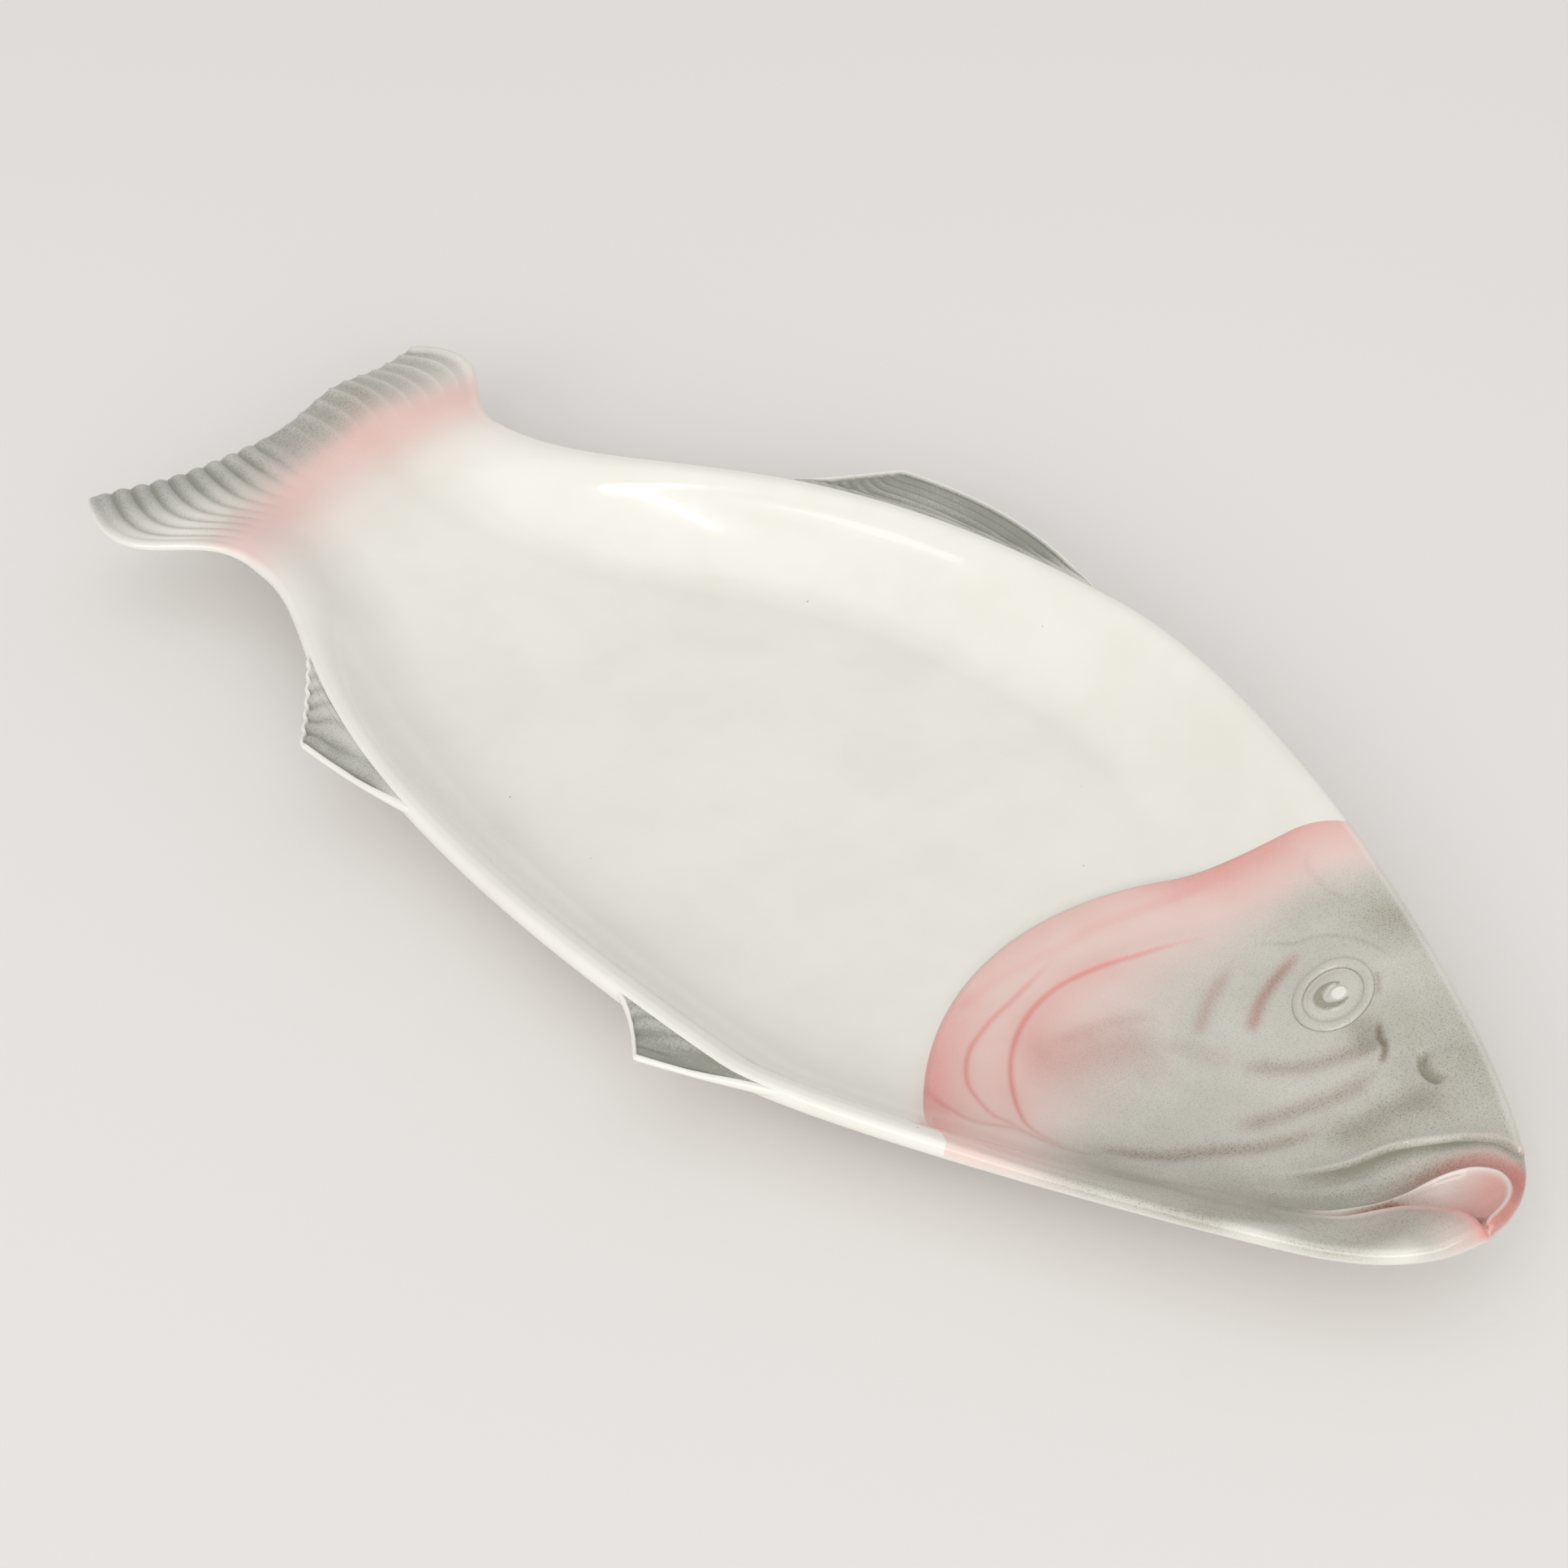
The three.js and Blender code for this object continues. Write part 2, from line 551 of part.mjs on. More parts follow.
function eyeRing() {
  const inner = EYE_RADIUS - EYE_RING_WIDTH;
  const arch = fractions(EYE_RING_STEPS).map((t) => [
    lerp(EYE_RADIUS, inner, t),
    lerp(EYE_RING_EDGE, EYE_RING_RISE, Math.sin(Math.PI * t)),
  ]);
  return laidOnCheek([[inner, -SEAT_DEPTH], [EYE_RADIUS, -SEAT_DEPTH], ...arch, [inner, -SEAT_DEPTH]]);
}

function pupil() {
  const edge = EYE_RADIUS - EYE_RING_WIDTH - SLIP_GAP;
  const bead = fractions(PUPIL_STEPS).map((t) => [
    PUPIL_RADIUS * Math.cos((Math.PI / 2) * t),
    lerp(IRIS_RISE, PUPIL_RISE, Math.sin((Math.PI / 2) * t)),
  ]);
  return laidOnCheek([[0, -SEAT_DEPTH], [edge, -SEAT_DEPTH], [edge, IRIS_RISE], ...bead]);
}

// Oval foot ring: flat on the table, its top following the underside of the well
function footRing() {
  const corners = [
    { offset: FOOT_REST_WIDTH / 2, high: false },
    { offset: FOOT_TOP_WIDTH / 2, high: true },
    { offset: -FOOT_TOP_WIDTH / 2, high: true },
    { offset: -FOOT_REST_WIDTH / 2, high: false },
  ];
  const positions = [];
  const triangles = [];
  for (let k = 0; k < FOOT_SEGMENTS; k++) {
    const angle = (2 * Math.PI * k) / FOOT_SEGMENTS;
    for (const { offset, high } of corners) {
      const x = FOOT_X + (FOOT_HALF_LENGTH + offset) * Math.cos(angle);
      const y = FOOT_Y + (FOOT_HALF_WIDTH + offset) * Math.sin(angle);
      positions.push(x, y, high ? undersideHeight(x, y) - SLIP_GAP : 0);
    }
    corners.forEach((_, c) => {
      const next = (c + 1) % corners.length;
      const here = k * corners.length;
      const ahead = ((k + 1) % FOOT_SEGMENTS) * corners.length;
      triangles.push(here + c, ahead + c, ahead + next, here + c, ahead + next, here + next);
    });
  }
  const geometry = new THREE.BufferGeometry();
  geometry.setAttribute('position', new THREE.Float32BufferAttribute(positions, 3));
  geometry.setIndex(triangles);
  return geometry;
}

// Finishes
const GLAZE_ROUGHNESS = 0.15;
const CLAY_ROUGHNESS = 0.85;
const finish = (color, roughness) => new THREE.MeshStandardMaterial({ color, roughness, metalness: 0 });
const glaze = (color) => finish(color, GLAZE_ROUGHNESS);
const bareClay = (color) => finish(color, CLAY_ROUGHNESS);

const platter = new THREE.Group();

function add(name, geometry, material) {
  geometry.computeVertexNormals();
  const mesh = new THREE.Mesh(geometry, material);
  mesh.name = name;
  platter.add(mesh);
}

add('well_body', bodyShell(0), glaze(0xe5e1d7));
add('head', headShell(0), glaze(0xb9b3a9));
add('tail_fin', tailShell(), glaze(0xb5aca2));
add('dorsal_fin', finShell(dorsalLine, 1, DORSAL_FIN), glaze(0x92918a));
add('anal_fin', finShell(ventralLine, -1, ANAL_FIN), glaze(0xb6b2a9));
add('pelvic_fin', finShell(ventralLine, -1, PELVIC_FIN), glaze(0x939189));
add('upper_lip', lipBand(UPPER_LIP), glaze(0xdaaaa5));
add('lower_lip', lipBand(LOWER_LIP), glaze(0xd9b4ac));
add('eye_ring', eyeRing(), glaze(0xc9c6ba));
add('eye_pupil', pupil(), glaze(0xdad2c7));
add('foot_ring', footRing(), bareClay(0xd8cfbf));

// The origin lies under the middle of the platter's box
const middle = new THREE.Box3().setFromObject(platter).getCenter(new THREE.Vector3());
platter.children.forEach((mesh) => mesh.geometry.translate(-middle.x, -middle.y, 0));

export default platter;
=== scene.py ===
import math
from collections import namedtuple

import bpy
import numpy as np
from mathutils import Matrix, Vector


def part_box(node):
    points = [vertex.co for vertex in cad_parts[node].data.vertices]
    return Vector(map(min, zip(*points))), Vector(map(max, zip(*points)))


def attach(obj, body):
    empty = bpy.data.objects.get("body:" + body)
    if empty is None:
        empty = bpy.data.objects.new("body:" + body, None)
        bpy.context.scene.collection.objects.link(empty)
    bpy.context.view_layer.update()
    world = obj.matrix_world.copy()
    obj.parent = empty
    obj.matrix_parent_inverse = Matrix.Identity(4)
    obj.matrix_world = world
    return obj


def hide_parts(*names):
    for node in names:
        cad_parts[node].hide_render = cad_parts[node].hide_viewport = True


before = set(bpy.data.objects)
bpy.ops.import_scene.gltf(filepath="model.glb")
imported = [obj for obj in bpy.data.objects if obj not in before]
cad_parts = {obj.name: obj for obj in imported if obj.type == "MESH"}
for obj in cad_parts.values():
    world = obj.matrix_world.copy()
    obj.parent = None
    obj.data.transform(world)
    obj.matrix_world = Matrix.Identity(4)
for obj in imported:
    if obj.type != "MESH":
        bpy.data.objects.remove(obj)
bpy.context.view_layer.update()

bl_info = {
    "name": "Fish Platter",
    "version": (1, 0, 0),
    "blender": (4, 5, 0),
    "location": "View3D > Sidebar > Fish Platter",
    "description": "Models a glazed serving platter in the shape of a fish around its fixed frame",
    "category": "Add Mesh",
}

# Units: shapes are worked out in millimetres and become metres when a mesh is made.
# Plan places are (x, y): +x runs to the snout and +y to the fish's back.
MM = 0.001

# Heights that the frame gives
RIM_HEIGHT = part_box("well_body")[1].z / MM
FOOT_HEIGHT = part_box("well_body")[0].z / MM
FIN_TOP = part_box("dorsal_fin")[1].z / MM

# Clay thickness and rim
SHELL_THICKNESS = 6.0
LIP_REACH = 3.0  # rolled edge, out past the crest of the rim
EDGE_INSET = 0.6  # the glazed edge keeps this far inside that reach
LIP_THICKNESS = 6.5
TAIL_EDGE_THICKNESS = 4.0
TAIL_EDGE_RUN = 14.0
FLOOR_HEIGHT = FOOT_HEIGHT + SHELL_THICKNESS
WELL_DEPTH = RIM_HEIGHT - FLOOR_HEIGHT

# Inside walls of the dish
BACK_WALL = 44.0
BELLY_WALL = 42.0
BROW_WALL = 26.0  # added to the back wall over the forehead
BROW_WALL_RUN = (60.0, 190.0)
SNOUT_WALL = 34.0  # taken off again at the snout
SNOUT_WALL_RUN = (215.0, 285.0)
WALL_OVERSHOOT = 8.0  # the walls aim this far above the rim before they roll over
WALL_BLEND = 4  # power by which the two walls blend where they meet
CREST_ROLL = 6.0
HEAD_ROLL = 8.0  # the crest is rounder by this much on the head
HEAD_ROLL_RUN = (125.0, 190.0)

# The floor climbs to the tail and to the snout
TAIL_DISH = 3.0  # the floor ends this far below the rim at the tail
TAIL_CLIMB_RUN = (-110.0, -280.0)
HEAD_CLIMB = 12.0
HEAD_CLIMB_RUN = (110.0, 300.0)

# Crest line of the rim
BACK_WAIST = (-227.0, 59.3)
BELLY_WAIST = (-227.0, -62.0)
BACK_TOP = (24.0, 138.0)
BELLY_LOW = (83.0, -129.5)
BROW = (286.0, 9.0)
BROW_SLOPE = -48.7  # degrees
CHIN = (260.0, -64.0)
CHIN_SLOPE = 27.0  # degrees
Fullness = namedtuple("Fullness", "waist rear front end")
BACK_FULLNESS = Fullness(67.5, 165.0, 80.0, 56.0)
BELLY_FULLNESS = Fullness(56.5, 245.0, 28.0, 35.0)
UPPER_TIP = (-289.0, 73.5)
LOWER_TIP = (-300.5, -80.4)
Lobe = namedtuple("Lobe", "shoulder flare neck")
BACK_LOBE = Lobe(26.5, 24.0, 22.5)
BELLY_LOBE = Lobe(45.0, -24.5, 35.5)
TAIL_FORK = 17.0
SNOUT_FULLNESS = (42.0, 30.0)  # at the chin and at the brow
GILL_X = (157.0, 158.0)  # gill edge on the crest of the belly and of the back
GILL_BELLY_BOW = (-89.0, 55.0)
GILL_BACK_BOW = (-75.0, -44.0)
GILL_COVER_SLOPE = 2.2  # the gill cover rises over this width
GILL_COVER_RUN = (26, 4)  # and falls back to the cheek between these distances

# Tail relief
TAIL_CURL = 8.0
TAIL_CURL_PLACE = 0.72  # across the tail, from the lower tip
TAIL_CURL_SPREAD = 0.14
TAIL_CURL_START = 0.2  # along the tail, from the waist
TAIL_BASE = [(-234, -68), (-250, -31), (-257, -4), (-257, 32), (-247, 70)]
TAIL_THIN_RUN = (-20.0, 10.0)  # distances from the base between which the border gets thin
RAY_RUN = (-4.0, 26.0)  # and between which the rays deepen
RAY_BORDER = 0.5  # share of a ray's width in which they die out at the borders
FLUTED_RUN = (0.42, 0.6)  # across the tail, where narrow grooves turn into wide flutes
FLUTED_DEPTH = 0.7  # depth of the flutes as a share of the grooves'

# Lines on the head: points, half width, how deep they press, how far the ground
# on the left of their run stands up, and how much pigment settled in them
Stroke = namedtuple("Stroke", "points width press step pink grey brown")
STROKE_FADE = 0.22  # share of a stroke over which each end fades
STROKE_MARGIN = 16  # widths from a stroke beyond which it leaves no trace
STEP_EDGE = (-0.4, 0.6)  # widths between which the ground steps up
STEP_REACH = 7  # widths over which it comes down again
GILL_PLATES = [
    Stroke([(168, -71), (153, -69), (144.5, -69.7), (135, -67.3), (128, -63.5), (120.6, -53.8),
            (116.5, -39.6), (115, -25), (113.5, -12), (112, 4)], 0.95, 0.2, 0.5, 0.34, 0, 0),
    Stroke([(190, -64), (163.5, -67), (149.7, -63), (133.8, -48.5), (124.4, -31.2), (121.5, -12.6),
            (125.2, 5.3), (132.2, 21.5), (141, 39.4), (152, 50)], 0.95, 0.22, 0.65, 0.42, 0, 0),
    Stroke([(160, -66), (143, -58), (130, -40), (125, -20), (127, 4), (134, 24)], 7.0, 0, 0, 0.16, 0, 0),
    Stroke([(104, -48), (105.4, -34), (105.7, -19.7), (109.7, 1.6), (114, 9)], 2.0, 0.1, 0.15, 0.1, 0, 0),
    Stroke([(110, -2), (111.4, 10), (113.7, 23.4), (124.5, 52.8), (132, 68)], 2.2, 0.12, 0.2, 0.14, 0, 0),
    Stroke([(112, -74), (124, -77), (133, -78), (142.6, -77), (154.6, -70.6), (172, -68.3), (182, -64),
            (191, -59)], 1.2, 0.25, -0.25, 0.16, 0.1, 0),
]
CHEEK_FOLDS = [
    Stroke([(189, -2), (196.4, 2.7), (204.4, 7.4), (212, 13.4), (219.5, 22.7), (223, 28)],
           3.4, 0.34, 0.1, 0.06, 0.08, 0.34),
    Stroke([(205, -28), (210.4, -18.2), (218, -5.4), (225.3, 6.3), (227.6, 13), (227, 21)],
           3.6, 0.36, 0.12, 0.06, 0.1, 0.34),
    Stroke([(230, -14), (238, -2), (242, 7), (253, 21)], 5.0, 0.3, 0.1, 0, 0.2, 0),
    Stroke([(162, -8), (177, -4), (190, -1)], 4.0, 0.18, 0.05, 0.06, 0, 0.1),
    Stroke([(174, -63), (183, -59), (196.3, -50.6), (207.5, -38), (218.7, -25.6), (230, -6)],
           2.8, 0.5, 0.35, 0.06, 0.1, 0.4),
    Stroke([(134, -32), (139, -26.3), (145, -11.8), (150.6, -3.6), (160, 1)], 3.2, 0.1, 0, 0.06, 0, 0.12),
    Stroke([(132, -46), (151, -26.7), (163, -4)], 13.0, 0, 0, 0.2, 0.05, 0.14),
    Stroke([(156, 45), (163.7, 48), (172, 50.2), (179, 55.2), (189.4, 57.7), (199.2, 57.5), (212, 55)],
           0.9, 0.1, -0.12, 0, 0.1, 0),
    Stroke([(154, 83), (157, 77), (164, 73), (173, 70), (184, 70)], 1.0, 0.12, 0.12, 0, 0.08, 0),
    Stroke([(204, 50), (208, 47), (212, 41)], 0.9, 0.25, 0, 0, 0.1, 0.3),
    Stroke([(210, 33), (218, 27), (226, 23)], 4.5, 0.1, 0, 0, 0.26, 0.04),
]
CHEEK_DASHES = [
    Stroke([(158, 36), (161.2, 26.6), (163, 19.4), (168, 7.5), (172, 0)], 2.6, 0.22, 0, 0.3, 0.04, 0.12),
    Stroke([(176.5, 50), (176.2, 42), (176.5, 34), (178, 26), (181.3, 18.4), (185, 11)],
           2.3, 0.25, 0, 0.5, 0.06, 0.24),
]
EYE_COMMA = Stroke([(217, 34), (219.5, 31.5), (222, 28.6), (225.4, 26.6), (227.7, 22.9), (229, 19)],
                   1.0, 0.9, 0.2, 0.12, 0.3, 0.5)
# The nostril's grey and faint brown are painted shade inside its dent.
NOSTRIL = Stroke([(237.5, 31), (239.5, 27), (242, 24.4), (246, 23), (251, 23.6)],
                 1.6, 2.2, 0.6, 0, 0.3, 0.05)
HEAD_STROKES = [*GILL_PLATES, *CHEEK_FOLDS, *CHEEK_DASHES, EYE_COMMA, NOSTRIL]

# Mouth: the cheek's edge over the upper lip, the upper lip's inner ridge, and the mouth line
CHEEK_EDGE = [(206, -52), (221, -41), (233, -30), (243, -17.5), (251, -4), (263, 5.4), (274, 9.8),
              (281, 10.4), (288, 8.4), (295, 4)]
MOUTH_RIDGE = [(220, -57), (234, -51.5), (245, -46.5), (253, -41.5), (259, -33.5), (263.6, -25.6),
               (269, -10), (276, -2.4), (284.5, -1), (291, -4), (294.5, -9.5), (295.4, -16),
               (295, -23), (293, -31)]
MOUTH_LINE = [(218, -62), (232, -55), (245, -49), (256, -43), (262, -32), (268, -24.5), (276, -21.5),
              (286, -20.8), (293, -21.8), (299, -25), (306, -29)]
LIP_START = (224, 250)  # the upper lip grows out of the cheek between these x
LIP_SOFT_START = (246, 260)  # before these x its inner side starts softly
LIP_SOFT_WIDTH = 6.0
MOUTH_START = (240, 262)  # the mouth opens between these x
SIDE_BLEND = 0.6  # half width in which one side of a line turns into the other
RIDGE_BLEND = 0.3
CHEEK_EDGE_RISE = 1.1
CHEEK_EDGE_WIDTH = 3.2
LIP_FOOT = 0.9  # the upper lip starts this far down under the cheek's edge
LIP_SWELL = 2.0
LIP_SWELL_RUN = (0, 0.45)  # shares of the lip's width
LIP_HOLLOW = 0.8  # dip between the lip's swell and its inner ridge
LIP_HOLLOW_RUN = (0.5, 0.8)
LIP_FLUTES = (0.3, 0.62)  # soft grooves along the lip, as shares of its width
FLUTE_DEPTH = 0.35
FLUTE_WIDTH = 0.08
FLUTE_END = 0.8  # the flutes fade as the mouth opens
RIDGE_RISE = 1.6
RIDGE_WIDTH = 1.2
RIDGE_SLOPE = 2.0  # width from the ridge down to the palate
PALATE_DEPTH = 2.8
PALATE_SLOPE = 7.0  # width in which the palate reaches its depth
MOUTH_DEPTH = 1.9  # groove of the mouth line
MOUTH_WIDTH = 1.3
LOWER_LIP_RISE = 2.2
LOWER_LIP_SLOPE = 3.0  # the lower lip rises over this width
LOWER_LIP_RUN = (5.0, 19.0)  # and fades into the chin between these distances
LIP_SEAT = 0.5  # the head lies this far below a lip
LIP_SEAT_RUN = (0.3, 1.5)  # and drops between these distances inside a lip's outline
LIP_TUCK = 1.2  # width in which a lip's edge dips into the head
LIP_CLAY = 1.6  # thickness of a lip
LIP_ROUND = 0.2  # rounding of a lip's edge
LIP_PROUD = 0.06  # a lip stands this far out of the head's surface
NORMAL_STEP = 0.05  # step in which the slope of the mouth is measured
Lip = namedtuple("Lip", "node far near")
LIPS = [
    Lip("upper_lip",
        [(224, -37.5), (232.7, -29.7), (242.7, -17.2), (250.7, -3.6), (262.8, 5.8), (274, 10.2),
         (280.5, 9.8), (285.5, 5.5), (288.5, 0)],
        [(239, -51), (252, -43.8), (259.5, -35.5), (265, -26), (270.2, -11), (277, -4), (284.4, -2.7),
         (288, -4)]),
    Lip("lower_lip",
        [(238, -51), (249, -47), (257, -42.4), (262, -31.4), (268, -24), (276, -21), (286, -20.3),
         (291, -21)],
        [(240, -57), (252, -60.5), (262, -59), (273, -53.5), (282, -45.5), (288, -36), (291.5, -27)]),
]

# Eye. Heights are measured from the cheek.
EYE_CENTRE = (198.2, 36.8)
EYE_LONG_AXIS = 126.0  # degrees in plan
EYE_NARROWING = 0.87  # the cheek's slope narrows the eye in plan
EYE_RADIUS = 14.5
EYE_RING_WIDTH = 3.6
EYE_UNDERSIDE = -2.0
RING_FOOT = 0.5  # the ring's edges lie this far below the cheek
RING_SPREAD = 0.3  # and this far outside its width
RING_INSET = 1.0  # its underside is narrower by this on each side
RING_ROUNDNESS = 2.4
PUPIL_HOLE = 0.02  # radius of the pinhole on the pupil's axis
PUPIL_UNDER_RING = (0.6, 0.4)  # how far the pupil's top and underside reach under the ring
PUPIL_CURL_RADIUS = 4.9
PUPIL_CURL_GROWTH = (0.86, 1.05)  # of that radius, from its start to its end
PUPIL_CURL_ARC = (108.0, 360.0)  # degrees, open towards the brow
PUPIL_CURL_HALF = 1.9  # half width
PUPIL_CURL_START = (0.55, 0.25)  # share of the width left there, and of the length that it takes to fill
PUPIL_CURL_END = (0.5, 0.2)
PUPIL_CURL_RISE = 1.1
PUPIL_CURL_SLOPE = 1.1
PUPIL_DOT = (1.2, 1.1)
PUPIL_DOT_RADIUS = 3.2
PUPIL_DOT_RISE = 0.9
PUPIL_DOT_SLOPE = 1.4
IRIS_HEIGHT = 0.35
IRIS_GROOVE = (-0.5, 0, 2.2)  # blot of height along the ring's inside

# Fins outside the rim
Fin = namedtuple("Fin", "name node side rear front tip_x reach bow hollow pitch border rear_border "
                 "scallop rib grey")
FINS = [
    Fin("dorsal", "dorsal_fin", 1, -120.0, 14.0, -81.5, 21.8, 9.5, 0.0, 4.2, 0.0, 0.0, 0.0, 0.8, 1.35),
    Fin("anal", "anal_fin", -1, -176.0, -78.0, -126.0, 14.3, 1.0, 0.8, 7.0, 1.0, 0.1, 1.0, 1.0, 0.95),
    Fin("pelvic", "pelvic_fin", -1, 28.0, 104.0, 60.5, 13.3, 0.5, 2.6, 5.2, 0.8, 0.3, 0.0, 0.8, 1.45),
]
FIN_THICKNESS = 5.0
FIN_EDGE_THICKNESS = 2.2
FIN_TAPER = 8.0  # width in which a fin thins out towards its edge
FIN_EDGE = 1.1  # rounding of that edge
FIN_ROOT = 1.5  # the root lies this far inside the crest
FIN_FRONT = 1.0  # and the front end this far outside it
FIN_BORDER = (1.2, 0.6)  # the plain border fades between these shares of its width
FIN_RECESS = 1.2  # ribbed ground below the fin's border
FIN_RISE_RUN = (6.0, -1.0)  # distances from the lip between which a fin's ground climbs to the rim
FIN_RISE_TOP = 0.8  # it ends this far below the rim
LINE_STEP = 0.004  # share of a line in which its direction is measured
HAIR = 0.01  # keeps a run from being empty

# Foot ring
FOOT_CENTRE = (-32.0, 3.0)
FOOT_HALF = (120.0, 66.0)
FOOT_TOP_WIDTH = 9.0
FOOT_REST_WIDTH = 6.0
FOOT_ROUND = 1.0  # rounding of the edges that it rests on
FOOT_SINK = 0.6  # the ring's top sits this far in the underside

# Paint. Amounts run from 0 to 1. A wash is an amount and the run over which it sets in, and a blot
# is an amount with the middle and the spread of its bell.
PAINT_ROLL = 0.45  # share of a rolled edge over which paint fades
EDGE_PAINT = 0.5  # share of a rolled edge at which it ends
JAW_EDGE_PAINT = 0.75  # where it ends on the head
FULL_EDGE_PAINT = 1.0  # and on a fin without a plain border
BACK_RIM_PAINT = 0.6  # share of the paint that stays on the crest of the back

# Paint on the head
GILL_PLACES = [0, 0.15, 0.35, 0.55, 0.75, 0.9, 1]
GILL_REACH = [32, 48, 56, 52, 40, 28, 22]  # how far the pink reaches at those places of the gill edge
GILL_WASH = (0.44, 1.5, 0.5)  # pink, in shares of that reach
GILL_LINE = (0.12, 0, 9)  # pink along the gill edge itself
GILL_ENDS = [(1, 0.2, 0.14), (0.9, 0.84, 0.12)]
GILL_END_BLOT = (0.34, 2, 13)  # more pink near both ends
CHEEK_WASH = (0.46, 0.55, 1.5)  # grey, in shares of the gill's reach
CHEEK_BROWN = (0.06, 1, 0.35)
SNOUT_WASH = (0.12, 205, 250)  # grey by x
JAW_BLOT = (0.36, 18, 19)  # grey beside the crest of the belly
JAW_RUN = (158, 190)
GREY_PATCHES = [(0.24, (199, 69), (26, 12)), (0.12, (248, 33), (30, 20))]  # forehead and nose
CHIN_RUN = (225, 255)  # x between which jaw turns into chin
JAW_RIM = (-8, -1)  # distances from the crest between which the grey of the jaw sets in
CHIN_RIM = (-3, 10)  # and that of the chin
PINK_RIM = (-5, 3)
HEAD_BACK_RIM = (0, 2)

# Paint on upper lip, palate and lower lip
RIDGE_PAINTED_HIGHLIGHT = (1, 0, 1)  # painted highlight along the ridge
FRONT_RUN = (260, 290)
LIP_PINK = (0.95, 2, 5)
LIP_PINK_RUN = (254, 274)
LIP_PINK_CLEARED = 0.7  # share of pink that the ridge's painted highlight takes off
LIP_FRONT_PINK = (0.4, 286, 296)
LIP_GREY = 0.84
LIP_SHADE_AND_LIGHT_BLOTS = [(0.16, 0.06, 0.14), (-0.2, 0.45, 0.14)]  # painted shade just under the cheek's edge, where glaze also pools, and a painted lighter crown on the lip's swell; in shares of the lip's width
# share of grey that the ridge's painted highlight takes off
LIP_GREY_CLEARED = 0.8
LIP_FRONT_CLEARED = (0.45, 0, 9)  # grey taken off beside the ridge at the front
LIP_BROWN = (0.14, 3, 2)
LIP_BROWN_PLACE = (262, 8)
PALATE_PINK = 0.24
# share of the palate's pink that the ridge's painted highlight takes off
PALATE_PINK_CLEARED = 0.8
PALATE_FRONT_PINK = (0.6, 270, 290)
PALATE_GREY = (0.14, 288, 272)
PALATE_BROWN = 0.08
MOUTH_BROWN_AND_SHADE = [(0.9, 0.8, 1.8), (0.3, 4, 4)]  # brown stain along the mouth line, with painted shade in its crease and in the palate's hollow above it
MOUTH_BROWN_RUN = (254, 266)
LOWER_PINK = (0.72, 1.6, 3.2)
LOWER_PINK_RUN = (256, 270)
LOWER_FRONT_PINK = (0.36, 6, 9)
LOWER_GREY = (0.66, 3, 7)
LOWER_GREY_END = (30, 17)
LOWER_FRONT_CLEARED = (0.65, 274, 296)
LOWER_BROWN = (0.2, 5, 4)
LOWER_BROWN_PLACE = (254, 6)
LOWER_END = (34, 20)  # distances from the mouth line at which its paint ends
EDGE_LINE = (1, 0.5, 0.7)  # painted highlight along the cheek's edge, where pink is also added towards the front
EDGE_PAINTED_HIGHLIGHT = 0.3
EDGE_PINK = (0.25, 258, 284)

# Paint on the well and the tail
WELL_PINK = (0.2, 0, 3.5)  # beside the gill edge
WELL_PINK_PLACE = (0.12, 0.14)
TAIL_PINK = 0.5
TAIL_PINK_SPREAD = (14, 20)  # from the tail's base into the tail and into the well
TAIL_PINK_RUN = (-70, -40)  # y between which it gets its full strength
TAIL_PINK_LOW = 0.8
TAIL_PINK_RIM = 0.5
TAIL_GREY = (0.2, 0.05)  # on the lower and on the upper lobe
TRAILING_GREY = (0.54, 0.46)
TRAILING_RUN = (34, 6)  # distances from the trailing edge
UPPER_LOBE_RUN = (0, 40)
GROOVE_GREY = (0.28, 0.4)  # near the base and at the trailing edge
TAIL_GREY_WASH = (0.9, -2, 12)  # from the tail's base on
TAIL_RIM = (-4, 0.5)
TAIL_BACK_RIM = (0, 4)

# Paint on fins and eye
FIN_GREY = 0.56
FIN_GROOVE_GREY = 0.3
FIN_OUTER_GREY = (0.24, 16, 0)
FIN_FRONT_RUN = (0.04, 0.4)  # shares of the long edge, from the front
FIN_FRONT_GREY = 0.4
FIN_ROOT_GREY = 0.8
RING_GREY = 0.5
RING_EDGE_GREY = (0.5, 0.8, 1)
RING_EDGE_BROWN = (0.4, 0.9, 1)
PUPIL_GREY = 0.42
CURL_GREY = 0.55
IRIS_EDGE_GREY = (0.4, 0, 0.9)
DOT_BROWN = (0.5, 0, 0.5)  # round the dot, where it lies on the curl
DOT_BROWN_RUN = (0.1, 0.6)
IRIS_BROWN = (0.16, -1.5, 1.8)  # inside the ring, on the side away from the snout
IRIS_BROWN_RUN = (-2, 8)

# The plan is drawn about its own origin, and the foot ring's box says where that lies in the frame
PLAN_SHIFT = [(low + high) / 2 / MM - middle
              for low, high, middle in zip(*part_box("foot_ring"), FOOT_CENTRE)]

# Middle of the photo's view, in plan and on the rim
PHOTO_AIM = (6.54, -20.61, RIM_HEIGHT)

# Lights: strips between two directions, each an azimuth and an elevation in degrees
Lamp = namedtuple("Lamp", "name power start end distance width")
LAMPS = [
    Lamp("overhead_light", "overhead_power", (-120, 62), (0, 62), 3.0, 2.4),
    Lamp("front_light", "front_power", (-92, 22), (-14, 22), 9.0, 3.6),
    Lamp("window_light", "window_power", (-78, 57), (-66, 47), 2.4, 0.09),
    Lamp("sill_light", "sill_power", (-112, 34), (-81, 39.5), 2.4, 0.1),
]
ROOM_COLOUR = (1.0, 0.985, 0.965, 1.0)
FLOOR_HALF = 30.0  # metres
SENSOR_WIDTH = 36.0  # millimetres

